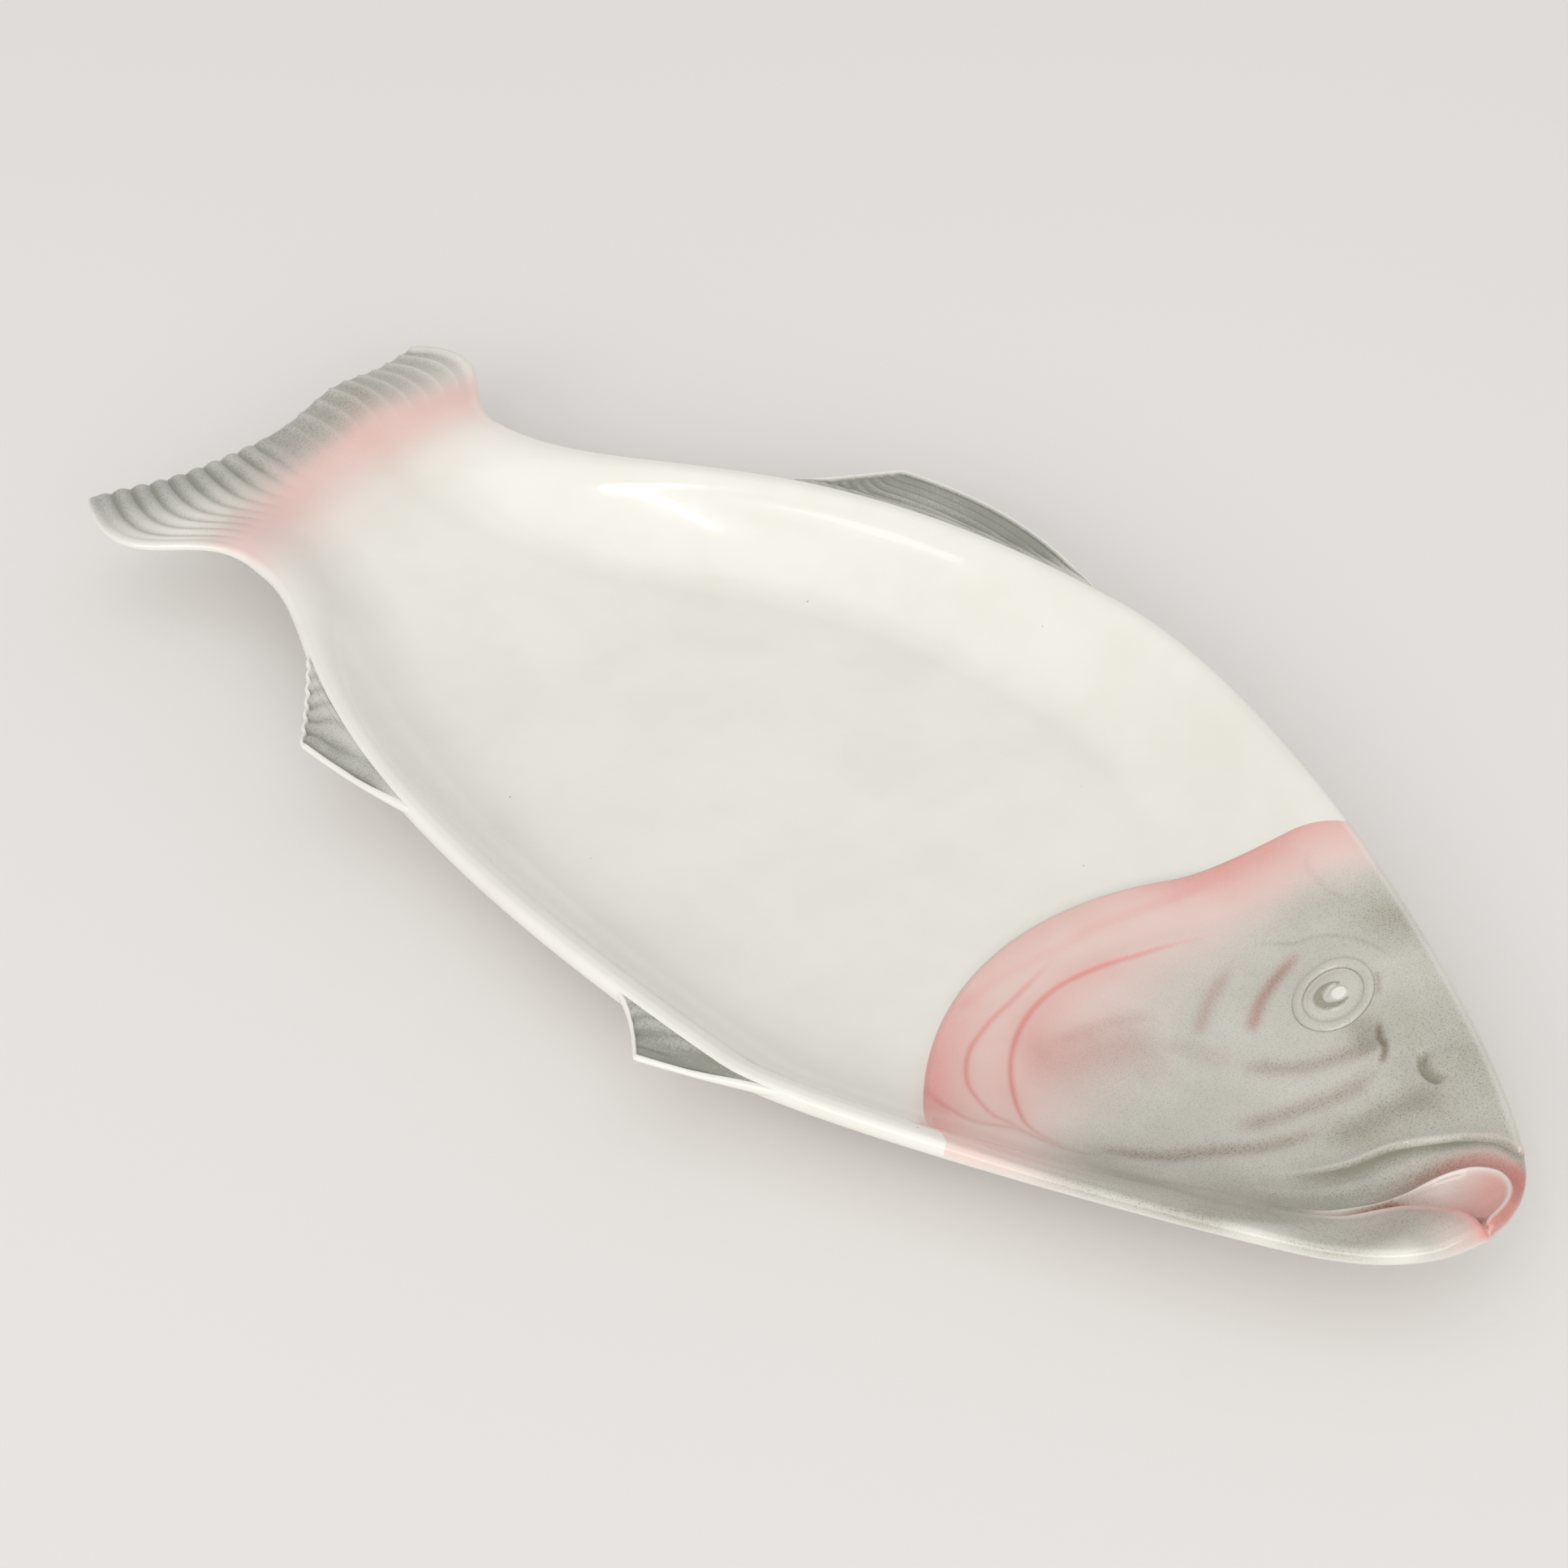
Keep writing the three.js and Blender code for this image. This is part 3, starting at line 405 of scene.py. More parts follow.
# How fine the meshes are
LINE_POINTS = 48
TAIL_ROWS = 64
BODY_ROWS = 72
HEAD_ROWS = 248
HEAD_GATHER = 0.4  # the head's rows gather at gill edge and snout
COLUMNS = 288
COLUMN_GATHER = 0.45  # columns gather at both crests
FIN_ROWS = 96
FIN_COLUMNS = 72
LIP_ROWS = 240
LIP_COLUMNS = 72
RING_STEPS = 24
RING_SEGMENTS = 160
PUPIL_RINGS = 52
PUPIL_SEGMENTS = 128
FOOT_CORNER_STEPS = 5
FOOT_SEGMENTS = 192
UNDERSIDE_STRIDE = 4
ROLL_STEPS = 8
CHUNK = 8000  # points measured from a line at a time


def smooth(value, start, end):
    """0 at the start of a run, 1 at its end, and an even S between. A run may go down."""
    t = np.clip((value - start) / (end - start), 0, 1)
    return t * t * (3 - 2 * t)


def bump(value, middle, spread):
    """1 at the middle, fading like a bell."""
    return np.exp(-(((value - middle) / spread) ** 2))


def wash(value, amount, start, end):
    return amount * smooth(value, start, end)


def blot(value, amount, middle, spread):
    return amount * bump(value, middle, spread)


def mix(low, high, share):
    return low + (high - low) * share


def rounded_min(a, b, blend):
    """The lower of two heights, with a round blend between them."""
    share = np.clip(0.5 + 0.5 * (b - a) / blend, 0, 1)
    return mix(b, a, share) - blend * share * (1 - share)


def gathered(count, share):
    """Places from 0 to 1 that gather at both ends."""
    t = np.linspace(0, 1, count + 1)
    return mix(t, (1 - np.cos(np.pi * t)) / 2, share)


def unit(run):
    return run / np.linalg.norm(run, axis=-1, keepdims=True)


def left_of(run):
    """A run turned a quarter to its left."""
    return np.stack([-run[..., 1], run[..., 0]], axis=-1)


class Line:
    """A line in plan, measured along its length."""

    def __init__(self, points):
        self.points = np.asarray(points, float)
        steps = np.linalg.norm(np.diff(self.points, axis=0), axis=1)
        self.length = steps.sum()
        self.places = np.concatenate([[0.0], np.cumsum(steps)]) / self.length

    def at(self, place):
        axes = [np.interp(place, self.places, self.points[:, k]) for k in (0, 1)]
        return np.stack(axes, axis=-1)

    def place_at_x(self, x):
        return float(np.interp(x, self.points[:, 0], self.places))

    def between(self, from_x, to_x):
        """The stretch of the line from one x to another, as a Line."""
        places = np.linspace(self.place_at_x(from_x), self.place_at_x(to_x), 4 * LINE_POINTS)
        return Line(self.at(places))

    def nearest(self, plan):
        """How far plan points lie from the line, where along it, and how far to its left."""
        flat = plan.reshape(-1, 2)
        run = np.diff(self.points, axis=0)
        squares = (run ** 2).sum(axis=1)
        found = [np.empty((3, 0))]
        for first in range(0, len(flat), CHUNK):
            away = flat[first:first + CHUNK, None, :] - self.points[:-1]
            share = np.clip((away * run).sum(axis=-1) / squares, 0, 1)
            off = away - share[..., None] * run
            square = (off ** 2).sum(axis=-1)
            best = square.argmin(axis=1)
            row = np.arange(len(best))
            distance = np.sqrt(square[row, best])
            place = mix(self.places[best], self.places[best + 1], share[row, best])
            turn = run[best, 0] * off[row, best, 1] - run[best, 1] * off[row, best, 0]
            found.append(np.stack([distance, place, np.sign(turn) * distance]))
        return np.concatenate(found, axis=1).reshape(3, *plan.shape[:-1])


def bezier(*handles):
    """Points along a curve from its first handle to its last."""
    t = np.linspace(0, 1, LINE_POINTS)[:, None]
    degree = len(handles) - 1
    weights = [math.comb(degree, k) * (1 - t) ** (degree - k) * t ** k for k in range(degree + 1)]
    return sum(weight * np.array(handle) for weight, handle in zip(weights, handles))


def bend(start, leave, end, arrive):
    """A curve that leaves its start along one handle and reaches its end along the other."""
    return bezier(start, np.add(start, leave), np.subtract(end, arrive), end)


def heading(degrees, length):
    angle = math.radians(degrees)
    return np.array([math.cos(angle), math.sin(angle)]) * length


def through(points):
    """A smooth line through given points."""
    p = np.asarray(points, float)
    padded = np.concatenate([[2 * p[0] - p[1]], p, [2 * p[-1] - p[-2]]])
    spans = []
    for a, b, c, d in zip(padded, padded[1:], padded[2:], padded[3:]):
        spans.append(bend(b, (c - a) / 6, c, (d - b) / 6)[::4])
    return Line(np.concatenate([*[span[:-1] for span in spans], [p[-1]]]))


# The crest line, from each tail tip forward to the snout
dorsal = Line(np.concatenate([
    bend(UPPER_TIP, (BACK_LOBE.shoulder, BACK_LOBE.flare), BACK_WAIST, (BACK_LOBE.neck, 0)),
    bend(BACK_WAIST, (BACK_FULLNESS.waist, 0), BACK_TOP, (BACK_FULLNESS.rear, 0))[1:],
    bend(BACK_TOP, (BACK_FULLNESS.front, 0), BROW, heading(BROW_SLOPE, BACK_FULLNESS.end))[1:],
]))
ventral = Line(np.concatenate([
    bend(LOWER_TIP, (BELLY_LOBE.shoulder, BELLY_LOBE.flare), BELLY_WAIST, (BELLY_LOBE.neck, 0)),
    bend(BELLY_WAIST, (BELLY_FULLNESS.waist, 0), BELLY_LOW, (BELLY_FULLNESS.rear, 0))[1:],
    bend(BELLY_LOW, (BELLY_FULLNESS.front, 0), CHIN, heading(CHIN_SLOPE, BELLY_FULLNESS.end))[1:],
]))
snout = Line(bend(
    CHIN, heading(CHIN_SLOPE, SNOUT_FULLNESS[0]),
    BROW, -heading(BROW_SLOPE, SNOUT_FULLNESS[1]),
))
fork = Line(bezier(LOWER_TIP, np.add(LOWER_TIP, UPPER_TIP) / 2 + (TAIL_FORK, 0), UPPER_TIP))
waist = Line([BELLY_WAIST, BACK_WAIST])
gill = Line(bend(
    ventral.at(ventral.place_at_x(GILL_X[0])), GILL_BELLY_BOW,
    dorsal.at(dorsal.place_at_x(GILL_X[1])), np.negative(GILL_BACK_BOW),
))
tail_base = through(TAIL_BASE)
cheek_edge = through(CHEEK_EDGE)
mouth_ridge = through(MOUTH_RIDGE)
mouth_line = through(MOUTH_LINE)

# Each half of the snout belongs to the wall on its own side
dorsal_wall = Line(np.concatenate([dorsal.points, snout.at(np.linspace(1, 0.5, LINE_POINTS))[1:]]))
ventral_wall = Line(np.concatenate([ventral.points, snout.at(np.linspace(0, 0.5, LINE_POINTS))[1:]]))


def crest_distance(plan):
    """How far plan points lie from the crest along the back and along the belly."""
    return dorsal_wall.nearest(plan)[0], ventral_wall.nearest(plan)[0]


def dish(plan):
    """Height of the dish's wall before it rolls into the crest, its slope, and its share of the rise."""
    x = plan[..., 0]
    floor = (FLOOR_HEIGHT + (WELL_DEPTH - TAIL_DISH) * smooth(x, *TAIL_CLIMB_RUN)
             + HEAD_CLIMB * smooth(x, *HEAD_CLIMB_RUN))
    to_back, to_belly = crest_distance(plan)
    back_width = BACK_WALL + BROW_WALL * smooth(x, *BROW_WALL_RUN) - SNOUT_WALL * smooth(x, *SNOUT_WALL_RUN)
    back = np.maximum(0, 1 - to_back / back_width)
    belly = np.maximum(0, 1 - to_belly / BELLY_WALL)
    share = (back ** WALL_BLEND + belly ** WALL_BLEND) ** (1 / WALL_BLEND)
    rise = RIM_HEIGHT + WALL_OVERSHOOT - floor
    slope = 2 * rise * share / np.where(back > belly, back_width, BELLY_WALL)
    return floor + rise * share ** 2, slope, share


def inside_height(plan):
    roll = CREST_ROLL + HEAD_ROLL * smooth(plan[..., 0], *HEAD_ROLL_RUN)
    return rounded_min(dish(plan)[0], RIM_HEIGHT, roll)


def underside_height(plan):
    """Underside at the clay's thickness square to the wall."""
    wall, slope, _ = dish(plan)
    under = wall - SHELL_THICKNESS * np.hypot(1, slope)
    return rounded_min(under, RIM_HEIGHT - LIP_THICKNESS, CREST_ROLL)


def patch(low, high, start, end, us, vs):
    """A plan grid between four lines: low and high run along u, start and end along v."""
    u = us[:, None, None]
    v = vs[None, :, None]
    lows, highs = low.at(us), high.at(us)
    starts, ends = start.at(vs), end.at(vs)
    ruled_u = mix(lows[:, None], highs[:, None], v)
    ruled_v = mix(starts[None], ends[None], u)
    corners = mix(mix(lows[0], lows[-1], u), mix(highs[0], highs[-1], u), v)
    return ruled_u + ruled_v - corners


# A closed sheet of clay. hang is the grid point that each point hangs from, roll how far round
# the rolled edge it lies, and row the grid row of each face.
Sheet = namedtuple("Sheet", "points faces row hang roll grid ring under")


def clay_sheet(plan, top, under, reach, stride=1):
    """A closed sheet over a plan grid: top, rolled edge, and an underside of every stride-th line."""
    rows, columns = top.shape
    grid = np.arange(rows * columns).reshape(rows, columns)
    border = np.concatenate([grid[:-1, 0], grid[-1, :-1], grid[:0:-1, -1], grid[0, :0:-1]])
    edge = plan.reshape(-1, 2)[border]
    step = unit(np.roll(edge, -1, axis=0) - edge)
    outward = -left_of(unit(step + np.roll(step, 1, axis=0)))
    high, low = top.flat[border], under.flat[border]

    points = [np.column_stack([plan.reshape(-1, 2), top.ravel()])]
    rings = [border]
    hang, roll = [grid.ravel()], [np.zeros(grid.size)]
    count = grid.size
    for k in range(1, ROLL_STEPS + 1):
        angle = math.pi * (0.5 - k / ROLL_STEPS)
        out = edge + outward * np.reshape(reach, (-1, 1)) * math.cos(angle)
        points.append(np.column_stack([out, (high + low) / 2 + (high - low) / 2 * math.sin(angle)]))
        rings.append(count + np.arange(len(border)))
        hang.append(border)
        roll.append(np.full(len(border), k / ROLL_STEPS))
        count += len(border)

    inner = grid[stride:-1:stride, stride:-1:stride].ravel()
    below = np.full(grid.size, -1)
    below[border] = rings[-1]
    below[inner] = count + np.arange(len(inner))
    below = below.reshape(rows, columns)
    points.append(np.column_stack([plan.reshape(-1, 2)[inner], under.flat[inner]]))
    hang.append(inner)
    roll.append(np.ones(len(inner)))

    quads = np.stack([grid[:-1, :-1], grid[1:, :-1], grid[1:, 1:], grid[:-1, 1:]], axis=-1)
    faces = quads.reshape(-1, 4).tolist()
    row = np.repeat(np.arange(rows - 1), columns - 1).tolist()
    border_row = border // columns
    face_row = np.minimum(np.minimum(border_row, np.roll(border_row, -1)), rows - 2).tolist()
    for above, beneath in zip(rings, rings[1:]):
        strip = np.stack([above, beneath, np.roll(beneath, -1), np.roll(above, -1)], axis=1)
        faces += strip.tolist()
        row += face_row

    def edge_points(i0, j0, i1, j1):
        """Underside points from one corner of a cell up to the next, all of them on the border."""
        on_border = (i0 == i1 and i0 in (0, rows - 1)) or (j0 == j1 and j0 in (0, columns - 1))
        steps = stride if on_border else 1
        return [below[i0 + (i1 - i0) * s // steps, j0 + (j1 - j0) * s // steps] for s in range(steps)]

    for i in range(0, rows - 1, stride):
        for j in range(0, columns - 1, stride):
            corners = [(i, j), (i, j + stride), (i + stride, j + stride), (i + stride, j)]
            cell = [p for a, b in zip(corners, corners[1:] + corners[:1]) for p in edge_points(*a, *b)]
            faces.append(cell)
            row.append(i)
    return Sheet(np.concatenate(points), faces, np.array(row), np.concatenate(hang),
                 np.concatenate(roll), grid, np.array(rings), below)


def joint_face(sheet, at_row, stride):
    """Faces that close a sheet where it is parted at a row, seen from lower x."""
    tops = sheet.grid[at_row]
    unders = sheet.under[at_row]
    faces = []
    for j in range(0, len(tops) - 1, stride):
        faces.append([*tops[j:j + stride + 1], unders[j + stride], unders[j]])
    border = sheet.ring[0]
    first = sheet.ring[1:, np.flatnonzero(border == tops[0])[0]]
    last = sheet.ring[1:, np.flatnonzero(border == tops[-1])[0]]
    faces.append([*first[::-1], tops[0]])
    faces.append([tops[-1], *last])
    return faces


def stroke_field(stroke, plan):
    """Relief of a stroke and the share of its pigment at plan points."""
    line = through(stroke.points)
    margin = STROKE_MARGIN * stroke.width
    low = line.points.min(axis=0) - margin
    high = line.points.max(axis=0) + margin
    near = np.all((plan > low) & (plan < high), axis=-1)
    distance, place, left = line.nearest(plan[near])
    fade = smooth(place, 0, STROKE_FADE) * smooth(1 - place, 0, STROKE_FADE)
    hollow = bump(distance, 0, stroke.width) * fade
    step_start, step_end = np.multiply(STEP_EDGE, stroke.width)
    raised = smooth(left, step_start, step_end) * bump(distance, 0, STEP_REACH * stroke.width) * fade
    relief, pigment = np.zeros((2, *plan.shape[:-1]))
    relief[near] = stroke.step * raised - stroke.press * hollow
    pigment[near] = hollow
    return relief, pigment


# Where plan points lie in the mouth: distances to its lines, place across the upper lip, shares of
# cheek, lip band and upper side, and how far lip and mouth have grown from their soft ends
Mouth = namedtuple("Mouth", "to_edge to_ridge to_line across cheek band upper lip_grows mouth_grows")


def mouth_places(plan):
    to_edge, _, cheek_side = cheek_edge.nearest(plan)
    to_ridge, _, lip_side = mouth_ridge.nearest(plan)
    to_line, _, upper_side = mouth_line.nearest(plan)
    x = plan[..., 0]
    soft_start = mix(smooth(lip_side, 0, LIP_SOFT_WIDTH), 1, smooth(x, *LIP_SOFT_START))
    return Mouth(
        to_edge, to_ridge, to_line,
        across=to_edge / (to_edge + to_ridge),
        cheek=smooth(cheek_side, -SIDE_BLEND, SIDE_BLEND),
        band=smooth(lip_side, -RIDGE_BLEND, RIDGE_BLEND),
        upper=smooth(upper_side, -SIDE_BLEND, SIDE_BLEND),
        lip_grows=smooth(x, *LIP_START) * soft_start,
        mouth_grows=smooth(x, *MOUTH_START),
    )


def mouth_relief(mouth):
    """Relief of cheek edge, upper lip, palate and lower lip above the head's dish."""
    flutes = sum(bump(mouth.across, place, FLUTE_WIDTH) for place in LIP_FLUTES)
    flutes = flutes * bump(mouth.mouth_grows, 0, FLUTE_END)
    swell = wash(mouth.across, LIP_SWELL, *LIP_SWELL_RUN) - wash(mouth.across, LIP_HOLLOW, *LIP_HOLLOW_RUN)
    band = swell - LIP_FOOT - FLUTE_DEPTH * flutes
    foot = LIP_SWELL - LIP_HOLLOW - LIP_FOOT
    slope = foot * (1 - smooth(mouth.to_ridge, 0, RIDGE_SLOPE))
    palate = slope - wash(mouth.to_ridge, PALATE_DEPTH, 0, PALATE_SLOPE)
    bead = blot(mouth.to_ridge, RIDGE_RISE, 0, RIDGE_WIDTH) * mouth.mouth_grows
    upper = mix(palate * mouth.mouth_grows, band * mouth.lip_grows, mouth.band) + bead
    cheek = blot(mouth.to_edge, CHEEK_EDGE_RISE, 0, CHEEK_EDGE_WIDTH) * mouth.lip_grows
    rise = smooth(mouth.to_line, 0, LOWER_LIP_SLOPE) - smooth(mouth.to_line, *LOWER_LIP_RUN)
    lower = LOWER_LIP_RISE * rise * mouth.mouth_grows
    groove = blot(mouth.to_line, MOUTH_DEPTH, 0, MOUTH_WIDTH) * mouth.mouth_grows
    return mix(lower, mix(upper, cheek, mouth.cheek), mouth.upper) - groove


def lip_inset(lip, plan):
    """How far plan points lie inside a lip's outline."""
    sides = [
        through(lip.near),
        Line([lip.near[-1], lip.far[-1]]),
        Line(through(lip.far).points[::-1]),
        Line([lip.far[0], lip.near[0]]),
    ]
    return np.min([side.nearest(plan)[2] for side in sides], axis=0)


def head_relief(plan, form):
    """What stands on or is pressed into the head's dish."""
    share = dish(plan)[2]
    to_gill = gill.nearest(plan)[0]
    gill_cover = smooth(to_gill, 0, GILL_COVER_SLOPE) * smooth(to_gill, *GILL_COVER_RUN)
    relief = form.gill_step / MM * gill_cover * np.maximum(0, 1 - share)
    for stroke in HEAD_STROKES:
        relief += form.relief * stroke_field(stroke, plan)[0]
    return relief + mouth_relief(mouth_places(plan))


def tail_relief(us, vs, plan, form):
    """Curl of the trailing edge, how deep in a groove each point lies, and how far beyond the base."""
    back = 1 - us[:, None]
    across = np.broadcast_to(vs[None], plan.shape[:-1])
    lift = blot(across, TAIL_CURL, TAIL_CURL_PLACE, TAIL_CURL_SPREAD) * smooth(back, TAIL_CURL_START, 1)
    wave = np.abs(np.sin(np.pi * form.tail_rays * across))
    fluted = smooth(across, *FLUTED_RUN)
    depth = mix(1 - wave, np.sqrt(wave), fluted)
    beyond = tail_base.nearest(plan)[2]
    border = np.minimum(across, 1 - across) * form.tail_rays
    strength = smooth(beyond, *RAY_RUN) * smooth(border, 0, RAY_BORDER) * mix(1, FLUTED_DEPTH, fluted)
    return lift, depth * strength, beyond


def paint_of(shape, pink=0.0, grey=0.0, brown=0.0):
    """Amounts of the three pigments at points of one shape."""
    amounts = {"pink": pink, "grey": grey, "brown": brown}
    return {name: np.clip(np.broadcast_to(amount, shape), 0, 1) for name, amount in amounts.items()}


def head_paint(plan):
    """Paint on the head and its lips."""
    to_gill, gill_place, _ = gill.nearest(plan)
    to_back, to_belly = crest_distance(plan)
    x = plan[..., 0]
    spread = to_gill / np.interp(gill_place, GILL_PLACES, GILL_REACH)
    at_ends = sum(blot(gill_place, *end) for end in GILL_ENDS)
    pink = wash(spread, *GILL_WASH) + blot(to_gill, *GILL_LINE) + at_ends * blot(to_gill, *GILL_END_BLOT)
    grey = wash(spread, *CHEEK_WASH) + wash(x, *SNOUT_WASH)
    grey += smooth(x, *JAW_RUN) * blot(to_belly, *JAW_BLOT)
    for amount, middle, half in GREY_PATCHES:
        grey += blot(np.linalg.norm((plan - middle) / half, axis=-1), amount, 0, 1)
    brown = blot(spread, *CHEEK_BROWN)
    for stroke in HEAD_STROKES:
        hollow = stroke_field(stroke, plan)[1]
        pink += stroke.pink * hollow
        grey += stroke.grey * hollow
        brown += stroke.brown * hollow
    chin = smooth(x, *CHIN_RUN)
    grey_rim = [mix(at_jaw, at_chin, chin) for at_jaw, at_chin in zip(JAW_RIM, CHIN_RIM)]
    back_rim = mix(BACK_RIM_PAINT, 1, smooth(to_back, *HEAD_BACK_RIM))
    grey *= smooth(to_belly, *grey_rim) * back_rim
    pink *= smooth(to_belly, *PINK_RIM) * back_rim
    paint = {"pink": pink, "grey": grey, "brown": brown}
    mouth_paint(x, mouth_places(plan), paint)
    return paint_of(x.shape, **paint)


def mouth_paint(x, mouth, paint):
    """Lay the colours of lips and palate over the head's."""
    # bead is a painted highlight along the ridge; it takes pigment off the lip band and the palate
    bead = blot(mouth.to_ridge, *RIDGE_PAINTED_HIGHLIGHT)
    front = smooth(x, *FRONT_RUN)
    lip_pink = smooth(x, *LIP_PINK_RUN) * blot(mouth.to_ridge, *LIP_PINK) + wash(x, *LIP_FRONT_PINK)
    # The lip's grey is darker under the cheek's edge (painted shade) and lighter on the swell's crown
    # (painted light).
    lip_grey = LIP_GREY + sum(blot(mouth.across, *each) for each in LIP_SHADE_AND_LIGHT_BLOTS)
    lip_grey = lip_grey * (1 - front * blot(mouth.to_ridge, *LIP_FRONT_CLEARED))
    band = {
        "pink": lip_pink * (1 - LIP_PINK_CLEARED * bead),
        "grey": lip_grey * (1 - LIP_GREY_CLEARED * bead),
        "brown": blot(mouth.to_ridge, *LIP_BROWN) * bump(x, *LIP_BROWN_PLACE),
    }
    # Brown along the mouth line: stain, with painted shade in the crease and the hollow above it.
    mouth_brown_and_shade = sum(blot(mouth.to_line, *each) for each in MOUTH_BROWN_AND_SHADE)
    palate = {
        "pink": (PALATE_PINK + wash(x, *PALATE_FRONT_PINK)) * (1 - PALATE_PINK_CLEARED * bead),
        "grey": wash(x, *PALATE_GREY) * (1 - bead),
        "brown": mouth_brown_and_shade * smooth(x, *MOUTH_BROWN_RUN) + PALATE_BROWN * (1 - bead),
    }
    lower_pink = blot(mouth.to_line, *LOWER_PINK) * smooth(x, *LOWER_PINK_RUN)
    lower_grey = wash(mouth.to_line, *LOWER_GREY) * smooth(mouth.to_line, *LOWER_GREY_END)
    lower = {
        "pink": lower_pink + front * blot(mouth.to_line, *LOWER_FRONT_PINK),
        "grey": lower_grey * (1 - wash(x, *LOWER_FRONT_CLEARED)),
        "brown": blot(mouth.to_line, *LOWER_BROWN) * bump(x, *LOWER_BROWN_PLACE),
    }
    in_upper = mouth.upper * (1 - mouth.cheek)
    shares = [
        (band, in_upper * mouth.band * mouth.lip_grows),
        (palate, in_upper * (1 - mouth.band) * mouth.mouth_grows),
        (lower, (1 - mouth.upper) * mouth.mouth_grows * smooth(mouth.to_line, *LOWER_END)),
    ]
    for name in paint:
        for colours, share in shares:
            paint[name] = mix(paint[name], colours[name], share)
    # A painted highlight along the cheek's edge takes off grey; pink stain is added along it towards the
    # snout.
    edge = blot(mouth.to_edge, *EDGE_LINE) * mouth.lip_grows * mouth.cheek * mouth.upper
    paint["grey"] = paint["grey"] * (1 - EDGE_PAINTED_HIGHLIGHT * edge)
    paint["pink"] = paint["pink"] + edge * wash(x, *EDGE_PINK)


def tail_pink(plan):
    """Pink along the base of the tail, which runs a little way into the well."""
    beyond = tail_base.nearest(plan)[2]
    spread = np.where(beyond > 0, *TAIL_PINK_SPREAD)
    strength = mix(TAIL_PINK_LOW, 1, smooth(plan[..., 1], *TAIL_PINK_RUN))
    return blot(beyond, TAIL_PINK, 0, spread) * strength


def body_paint(plan):
    """The tail's pink running into the well, and a breath of pink beside the gill edge."""
    to_gill, gill_place, _ = gill.nearest(plan)
    pink = tail_pink(plan) + blot(to_gill, *WELL_PINK) * bump(gill_place, *WELL_PINK_PLACE)
    return paint_of(pink.shape, pink=pink)


def tail_paint(plan, depth, beyond):
    """Grey that settled in the grooves and on the trailing edge, and pink along the base."""
    to_back, to_belly = crest_distance(plan)
    trailing = smooth(fork.nearest(plan)[0], *TRAILING_RUN)
    upper = smooth(plan[..., 1], *UPPER_LOBE_RUN)
    grey = mix(*TAIL_GREY, upper) + mix(*TRAILING_GREY, upper) * trailing
    grey = (grey + depth * mix(*GROOVE_GREY, trailing)) * wash(beyond, *TAIL_GREY_WASH)
    border = smooth(to_belly, *TAIL_RIM) * mix(BACK_RIM_PAINT, 1, smooth(to_back, *TAIL_BACK_RIM))
    pink = tail_pink(plan) * mix(TAIL_PINK_RIM, 1, border)
    return paint_of(grey.shape, pink=pink, grey=grey * border)


def roll_over(sheet, paint, until=EDGE_PAINT, kept=slice(None), first=0):
    """Paint of a sheet's kept points, fading round the rolled edge. It starts at the first grid point."""
    fade = 1 - smooth(sheet.roll[kept], until - PAINT_ROLL, until)
    return {name: values.ravel()[sheet.hang[kept] - first] * fade for name, values in paint.items()}


def make_piece(name, points, faces, material, nodes, paint=None, normals=None):
    """A mesh piece in the frame, in metres, that stands for CAD nodes."""
    mesh = bpy.data.meshes.new(name)
    mesh.from_pydata(((np.asarray(points) + (*PLAN_SHIFT, 0)) * MM).tolist(), [], faces)
    mesh.shade_smooth()
    for pigment, values in (paint or {}).items():
        attribute = mesh.attributes.new(pigment, "FLOAT", "POINT")
        attribute.data.foreach_set("value", np.asarray(values, np.float32).ravel())
    if normals is not None:
        mesh.normals_split_custom_set_from_vertices(normals)
    mesh.materials.append(material)
    piece = bpy.data.objects.new(name, mesh)
    bpy.context.scene.collection.objects.link(piece)
    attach(piece, "root")
    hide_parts(*nodes)


def shell_normals(points, faces):
    """Smooth normals of a whole shell, so that the glaze flows over its joints."""
    mesh = bpy.data.meshes.new("whole_shell")
    mesh.from_pydata(points.tolist(), [], faces)
    normals = np.empty(len(points) * 3, np.float32)
    mesh.vertex_normals.foreach_get("vector", normals)
    bpy.data.meshes.remove(mesh)
    return normals.reshape(-1, 3)


def part_of_sheet(sheet, rows, stride):
    """Points kept and faces of the part of a sheet between two rows, closed at the joints."""
    first, last = rows
    chosen = np.flatnonzero((sheet.row >= first) & (sheet.row < last))
    faces = [sheet.faces[k] for k in chosen]
    if first > 0:
        faces += joint_face(sheet, first, stride)
    if last < len(sheet.grid) - 1:
        faces += [face[::-1] for face in joint_face(sheet, last, stride)]
    kept, places = np.unique(np.concatenate([np.asarray(face) for face in faces]), return_inverse=True)
    ends = np.cumsum([len(face) for face in faces])
    return kept, [part.tolist() for part in np.split(places, ends[:-1])]


class Shade:
    """One output socket of a material, with arithmetic that adds Math nodes."""

    def __init__(self, board, socket):
        self.board = board
        self.socket = socket

    def math(self, operation, first, second):
        return self.board.add("ShaderNodeMath", {"operation": operation}, {0: first, 1: second})

    def __add__(self, other):
        return self.math("ADD", self, other)

    def __mul__(self, other):
        return self.math("MULTIPLY", self, other)

    def __rsub__(self, other):
        return self.math("SUBTRACT", other, self)

    __radd__ = __add__
    __rmul__ = __mul__

    def ramp(self, start, end):
        """0 at the start of a run, 1 at its end, and an even S between."""
        return self.board.add("ShaderNodeMapRange", {"interpolation_type": "SMOOTHSTEP"},
                              {"Value": self, "From Min": start, "From Max": end})


